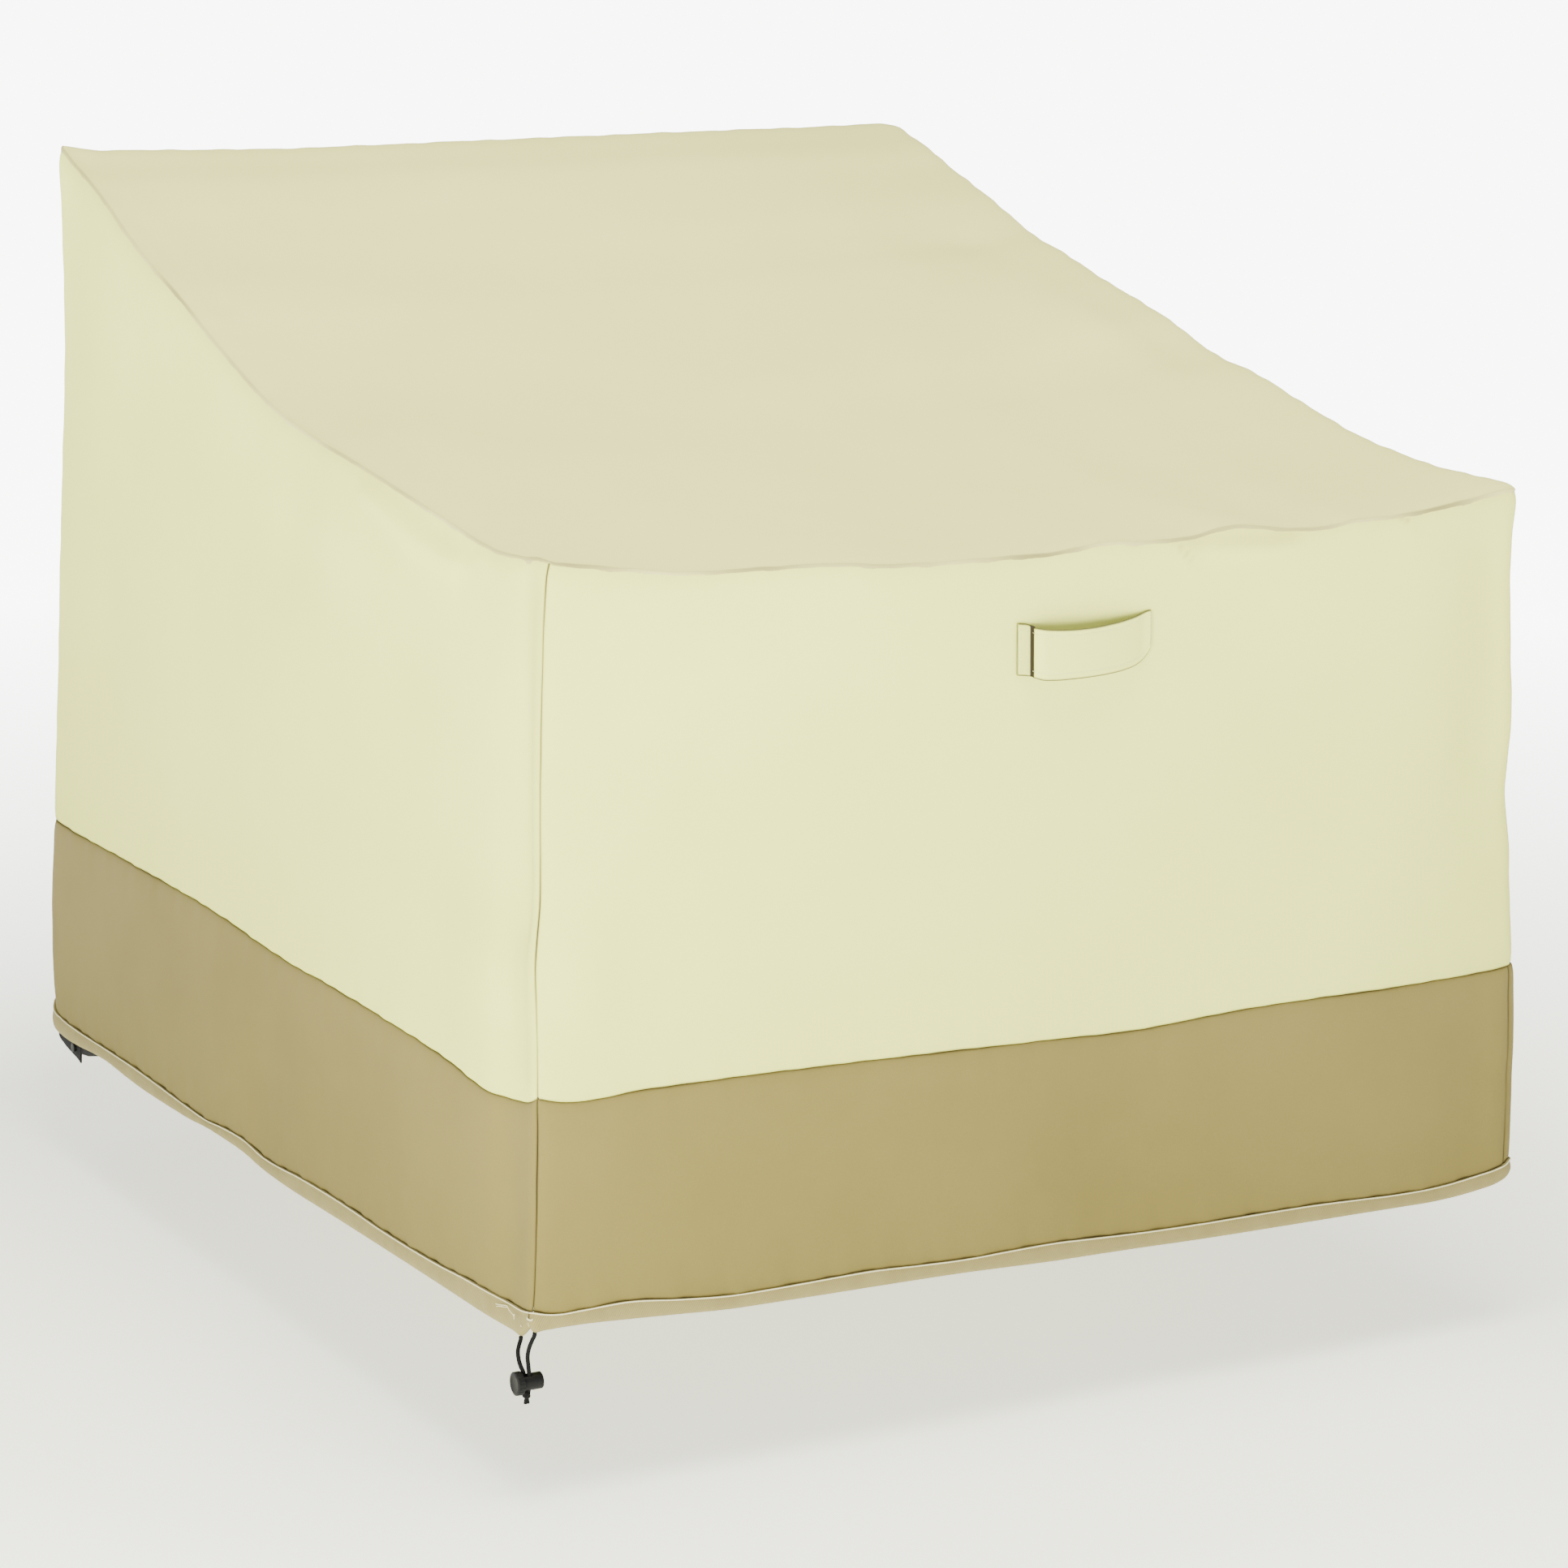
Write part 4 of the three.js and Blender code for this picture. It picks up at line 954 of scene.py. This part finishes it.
edge_rows = [0, 0.0003, 0.0008, 0.0014]
inner_rows = list(np.linspace(0.0022, strap_width - 0.0022, STRAP_ROWS))
heights = edge_rows + inner_rows + [strap_width - row for row in reversed(edge_rows)]
front_rows = [strap_row(height) - strap_out * puff(height) for height in heights]
back_rows = [
    strap_row(height) - strap_out * (STRAP_THICKNESS - puff(height)) for height in reversed(heights[1:-1])
]
strap_points = np.stack(front_rows + back_rows, axis=1)
strap_uv = []
for station in handle_stations:
    strap_uv += [(station, height) for height in heights]
    strap_uv += [(station, height) for height in reversed(heights[1:-1])]
strap_faces = [face[::-1] for face in ring_faces(len(handle_stations), strap_points.shape[1])]
# Painted shade: its turned edges, its ends, its inner side and the slot where it folds off the wall are
# darkened in its colour.
WALL_STAND = strap_row(strap_width / 2)[:, 1].max()
strap_stand = WALL_STAND - strap_row(strap_width / 2)[:, 1]
in_slot = (strap_out[:, 0] < SLOT_TURN) & (strap_stand < SLOT_STAND)
strap_painted_shade = np.zeros(strap_points.shape[:2])
EDGE_SHADE = (0.92, 0.90, 0.75, 0.15)
for row, shade in enumerate(EDGE_SHADE):
    strap_painted_shade[:, [row, len(heights) - 1 - row]] = shade
strap_painted_shade[:1] = 0.6
strap_painted_shade[-1:] = 0.45
strap_painted_shade[:, len(heights):] = 0.85
strap_painted_shade[in_slot] = 1.0
handle = mesh_object("carry_handle", strap_points.reshape(-1, 3), strap_faces, strap_uv, strap_painted_shade)
# Painted shade colour of the strap, nearly black.
STRAP_PAINTED_SHADE = (0.030, 0.024, 0.018, 1)
strap_cloth = woven_material("strap_cloth", CREAM, CREAM_SHADE, STRAP_PAINTED_SHADE, 0.70)
finish_piece(handle, strap_cloth, "cream_cloth", "handle")


def thinned(at, angle):
    """A stitch is thinner where it dips into the cloth at its two ends."""
    return STITCH_RADIUS * (0.55 if at in (0, STITCH_LENGTH) else 1.0)


def stitch_run(name, line, outward):
    """Stitches in a row along a line, each a short bowed thread."""
    lengths = run_lengths(line)
    count = int(lengths[-1] / STITCH_PITCH)
    margin = (lengths[-1] - count * STITCH_PITCH) / 2
    share = np.linspace(0, 1, STITCH_RINGS)
    bow = STITCH_RADIUS * (1.6 * np.sin(math.pi * share) - 0.5)
    one_stitch = ring_faces(STITCH_RINGS, STITCH_SIDES)
    positions, faces, places = [], [], []
    for index in range(count):
        wanted = margin + index * STITCH_PITCH + share * STITCH_LENGTH
        route = through(line, lengths, wanted) + through(outward, lengths, wanted) * bow[:, None]
        ring_points, ring_places = rings(route, share * STITCH_LENGTH, thinned, STITCH_SIDES)
        first = len(positions)
        faces += [tuple(first + corner for corner in face) for face in one_stitch]
        positions += ring_points
        places += ring_places
    return mesh_object(name, positions, faces, places)


cream_thread = thread_material("cream_thread", (0.80, 0.80, 0.42, 1), (0.62, 0.62, 0.30, 1))
stitch_parts = []
for height in (STITCH_INSET_LOW, strap_width - STITCH_INSET_TOP):
    line = strap_row(height) - strap_out * ROW_DEPTH
    stitch_parts.append(stitch_run("row", line[12:-6], strap_out[12:-6]))
for station in (0.0016, 0.0082, handle_lengths[-1] - 0.0018):
    index = int(np.searchsorted(handle_stations, station))
    column = strap[index]
    column = through(column, strap_heights, np.linspace(0.001, strap_width - 0.001, 24))
    outs = np.tile(strap_out[index], (24, 1))
    stitch_parts.append(stitch_run("column", column, outs))
stitching = finish_piece(joined("handle_stitching", stitch_parts), cream_thread, "cream_cloth")


# Corner strap
# Black polyester webbing, woven flat, inside the back left corner. It is in a long end and a short end,
# each sewn in behind the hem, that lap and are held together by a snap.
WEBBING_THICKNESS = 0.0015
WEBBING_EDGE = 0.0004
WEBBING_STEP = 0.0016
WEBBING_LEVELS = 15
WEBBING_BLACK = (0.004, 0.004, 0.005, 1)
WEBBING_WORN = (0.010, 0.010, 0.012, 1)


def webbing_material():
    material, shader, cloth_place, _ = new_material("black_webbing")
    along = cloth_place.axis("X").wave(0.0016)
    across = cloth_place.axis("Y").wave(0.0011)
    weave = along * across
    feed(shader, "Base Color", weave.between(0.1, 0.9, WEBBING_BLACK, WEBBING_WORN))
    feed(shader, "Normal", weave.bump(0.0004, 0.8))
    shader.inputs["Roughness"].default_value = 0.7
    shader.inputs["Specular IOR Level"].default_value = 0.12
    return material


webbing_look = webbing_material()
for name in ("leg_strap", "leg_strap_lap"):
    grid = sheet_grid(name, (0, 1, 1))
    lengths = mean_lengths(grid)
    heights = mean_lengths(grid.transpose(1, 0, 2))
    stations = np.linspace(0, lengths[-1], round(lengths[-1] / WEBBING_STEP) + 1)
    levels = np.linspace(0, heights[-1], WEBBING_LEVELS)
    fine = through(through(grid, lengths, stations).transpose(1, 0, 2), heights, levels).transpose(1, 0, 2)
    faces = grid_faces(len(stations), len(levels))
    places = np.stack(np.meshgrid(stations, levels, indexing="ij"), axis=2).reshape(-1, 2)
    if name == "leg_strap":
        faces = faces[:, ::-1]
    made = mesh_object(name + "_webbing", fine.reshape(-1, 3), faces.tolist(), places)
    thicken(made, WEBBING_THICKNESS)
    bevel = made.modifiers.new("edge", "BEVEL")
    bevel.width = WEBBING_EDGE
    bevel.segments = 2
    bpy.ops.object.modifier_apply(modifier=bevel.name)
    finish_piece(made, webbing_look, "black_webbing", name)


# Snap
# A moulded button of black plastic, pressed through the webbing where its two ends lap. Its cap is a flat
# disc with a raised rim and a sunk ring.
def pick_faces(made, chosen):
    """Enters edit mode with the chosen faces selected."""
    bpy.ops.object.mode_set(mode="OBJECT")
    for kind in (made.data.vertices, made.data.edges, made.data.polygons):
        kind.foreach_set("select", [False] * len(kind))
    for face in made.data.polygons:
        face.select = chosen(face)
    bpy.ops.object.mode_set(mode="EDIT")
    bpy.ops.mesh.select_mode(type="FACE")


def turned_piece(name, low, high, sides):
    """A cylinder along X that fills a box, with its place in its mesh."""
    bpy.ops.object.select_all(action="DESELECT")
    bpy.ops.mesh.primitive_cylinder_add(
        vertices=sides, radius=(high.z - low.z) / 2, depth=high.x - low.x, location=(low + high) / 2,
        rotation=(0, math.pi / 2, 0),
    )
    made = bpy.context.object
    made.name = name
    made.data.name = name
    bpy.ops.object.transform_apply(location=True, rotation=True, scale=True)
    return made


def round_edges(made, width, segments):
    """Bevels the sharp edges and smooths the rest."""
    bpy.ops.object.mode_set(mode="OBJECT")
    bevel = made.modifiers.new("rounding", "BEVEL")
    bevel.width = width
    bevel.segments = segments
    bevel.angle_limit = math.radians(40)
    bpy.ops.object.modifier_apply(modifier=bevel.name)
    bpy.ops.object.shade_smooth_by_angle(angle=math.radians(35))


def moulded_material():
    """Black moulded plastic with a fine satin grain."""
    material, shader, _, place = new_material("black_plastic")
    grain = place.noise(2200.0, 2.0)
    feed(shader, "Base Color", grain.between(0.35, 0.75, BLACK, BLACK_WORN))
    feed(shader, "Normal", grain.bump(0.00012, 0.5))
    shader.inputs["Roughness"].default_value = 0.5
    shader.inputs["Specular IOR Level"].default_value = 0.12
    return material


black_plastic = moulded_material()
RIM = 0.0009
SNAP_SIDES = 32
FINE_ROUNDING = 0.0002
RING_DEPTH = 0.0003
snap_low, snap_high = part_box("strap_snap")
snap = turned_piece("strap_snap_cap", snap_low, snap_high, SNAP_SIDES)
pick_faces(snap, lambda face: abs(face.normal.x) > 0.9)
bpy.ops.mesh.inset(thickness=RIM)
bpy.ops.mesh.inset(thickness=RING_DEPTH, depth=-RING_DEPTH)
bpy.ops.mesh.inset(thickness=0.0005, depth=RING_DEPTH)
round_edges(snap, FINE_ROUNDING, 2)
finish_piece(snap, black_plastic, "black_plastic", "strap_snap")


# Cord lock
# A sprung lock of moulded black plastic: a round barrel with a push button at its left end. The two cord
# ends run down through the barrel's slot, where the spring jams them.
DISH = 0.0011
DISH_DEPTH = 0.0006
LOCK_SIDES = 48
LOCK_ROUNDING = 0.0005
SLOT_ROUNDING = 0.0014
SMOOTH_ANGLE = math.radians(35)
GRIP_DEPTH = 0.00025
SLOT_HALF = Vector((0.0036, 0.0034, 0.012))
SLOT_CENTRE = FOOT + Vector((-0.44455, 0.0037, -0.042))
lock_low, lock_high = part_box("cord_lock")
barrel = turned_piece("cord_lock_barrel", lock_low, lock_high, LOCK_SIDES)
pick_faces(barrel, lambda face: face.normal.x > 0.9)
bpy.ops.mesh.inset(thickness=DISH, depth=0)
bpy.ops.mesh.inset(thickness=0.0002, depth=-DISH_DEPTH)
round_edges(barrel, LOCK_ROUNDING, 3)
bpy.ops.object.select_all(action="DESELECT")
bpy.ops.mesh.primitive_cube_add(size=2, location=SLOT_CENTRE, scale=SLOT_HALF)
cutter = bpy.context.object
bpy.ops.object.transform_apply(location=True, rotation=True, scale=True)
round_edges(cutter, SLOT_ROUNDING, 4)
bpy.ops.object.select_all(action="DESELECT")
bpy.context.view_layer.objects.active = barrel
barrel.select_set(True)
slot = barrel.modifiers.new("slot", "BOOLEAN")
slot.object = cutter
slot.solver = "EXACT"
bpy.ops.object.modifier_apply(modifier=slot.name)
bpy.data.objects.remove(cutter)
bpy.ops.object.shade_smooth_by_angle(angle=SMOOTH_ANGLE)
finish_piece(barrel, black_plastic, "black_plastic", "cord_lock")

button_low, button_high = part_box("cord_lock_button")
button_middle = (button_low + button_high) / 2
button = turned_piece("cord_lock_push_button", button_low, button_high, LOCK_SIDES)


def on_grip(face):
    """Every third facet of the button's rim is a grip notch."""
    way = face.center - button_middle
    facet = round(math.atan2(way.z, way.y) / (2 * math.pi / LOCK_SIDES) - 0.5)
    return abs(face.normal.x) < 0.1 and facet % 3 == 0


pick_faces(button, on_grip)
bpy.ops.mesh.inset(thickness=GRIP_DEPTH, depth=-GRIP_DEPTH, use_individual=True)
pick_faces(button, lambda face: face.normal.x < -0.9 and face.area > 1e-5)
bpy.ops.mesh.inset(thickness=0.0012, depth=0.0004)
bpy.ops.mesh.inset(thickness=0.0010, depth=0.0002)
bpy.ops.mesh.inset(thickness=0.0006, depth=-0.0003)
round_edges(button, FINE_ROUNDING, 2)
finish_piece(button, black_plastic, "black_plastic", "cord_lock_button")


# Cord knot
# The two ends of the braided cord are tied together below the lock in one overhand knot, so that the lock
# can't slip off. Their cut ends stand out below it.
KNOT_TURN = 0.00072
KNOT_RISE = 0.0017
KNOT_STEPS = 48
KNOT_STEP = 0.0007
knot_middle = (knot_low + knot_high) / 2
knot_route = []
for step in range(KNOT_STEPS + 1):
    turn = 2 * math.pi * step / KNOT_STEPS
    level = (math.sin(turn) + 2 * math.sin(2 * turn), math.cos(turn) - 2 * math.cos(2 * turn))
    offset = Vector((KNOT_TURN * level[0], KNOT_TURN * level[1], -KNOT_RISE * math.sin(3 * turn)))
    knot_route.append(knot_middle + offset)
knot_turns, _ = tube("knot_turns", knot_route, lambda at, angle: CORD_DIAMETER * 0.42, CORD_SIDES, KNOT_STEP)
knot_parts = [knot_turns]
for index, lean in enumerate((-0.0011, 0.0012)):
    cut_end = Vector((lean, 0, -0.0060))
    foot = knot_middle + Vector((0, 0.0006 * index, 0))
    end_route = [foot + cut_end * share for share in (0, 0.5, 1, 1.15)]
    made, _ = tube("knot_end", end_route, lambda at, angle: CORD_DIAMETER * 0.40, CORD_SIDES, KNOT_STEP)
    knot_parts.append(made)
knot = finish_piece(joined("cord_knot_turns", knot_parts), braid, "black_cord", "cord_knot")

# Each sheet's area is held against its flat size; the result is not kept.
for made, flat, area in cloth_sheets:
    min(area, flat[0] * flat[1])


# Floor and light
# A white floor that glows as a light table does, which is painted light: dim round the cover, where it reads
# as a soft painted shadow, and bright far off. Soft studio light: a wide lamp from the front left, one over
# the back, and an even white sky.
FLOOR_DROP = 0.135
FLOOR_SIZE = 80
FLOOR_GLOW = 1.3
FLOOR_GLOW_FAR = 8.0
GLOW_NEAR = 1.1
GLOW_FAR = 3.4
bpy.ops.object.select_all(action="DESELECT")
bpy.ops.mesh.primitive_plane_add(size=FLOOR_SIZE, location=(0, 0, 0))
floor = bpy.context.object
floor.name = "floor"
for corner in floor.data.vertices:
    corner.co.z = FOOT.z - FLOOR_DROP
floor_material, floor_shader, _, floor_place = new_material("pale_floor")
floor_distance = floor_place.node(
    "ShaderNodeVectorMath", {"operation": "LENGTH"}, {0: floor_place}, "Value",
)
near_glow = (FLOOR_GLOW, FLOOR_GLOW, FLOOR_GLOW * 0.92, 1)
far_glow = (FLOOR_GLOW_FAR, FLOOR_GLOW_FAR, FLOOR_GLOW_FAR, 1)
# Painted light: the floor's glow rises from dim near the cover to bright far off.
feed(floor_shader, "Emission Color", floor_distance.between(GLOW_NEAR, GLOW_FAR, near_glow, far_glow))
floor_shader.inputs["Base Color"].default_value = (0.92, 0.92, 0.92, 1)
floor_shader.inputs["Roughness"].default_value = 0.9
floor_shader.inputs["Emission Strength"].default_value = 1
floor.data.materials.append(floor_material)

LAMPS = [
    {"name": "key", "place": (-1.58, -1.05, 0.22), "size": 0.5, "power": 46, "aim": (-0.30, 0.10, 0.25)},
    {"name": "top", "place": (-0.20, -0.15, 2.30), "size": 1.2, "power": 84, "aim": (0, 0.30, 0.5)},
]
LAMP_COLOUR = (1.0, 1.0, 0.80)
for lamp in LAMPS:
    data = bpy.data.lights.new(lamp["name"], "AREA")
    data.shape = "SQUARE"
    data.size = lamp["size"]
    data.energy = lamp["power"]
    data.color = LAMP_COLOUR
    made = bpy.data.objects.new(lamp["name"], data)
    made.location = FOOT + Vector(lamp["place"])
    toward = FOOT + Vector(lamp["aim"]) - made.location
    made.rotation_euler = toward.to_track_quat("-Z", "Y").to_euler()
    bpy.context.collection.objects.link(made)

SKY = 0.5
world = bpy.data.worlds.new("studio")
world.use_nodes = True
world.node_tree.nodes["Background"].inputs["Color"].default_value = (1, 0.99, 0.92, 1)
world.node_tree.nodes["Background"].inputs["Strength"].default_value = SKY
bpy.context.scene.world = world
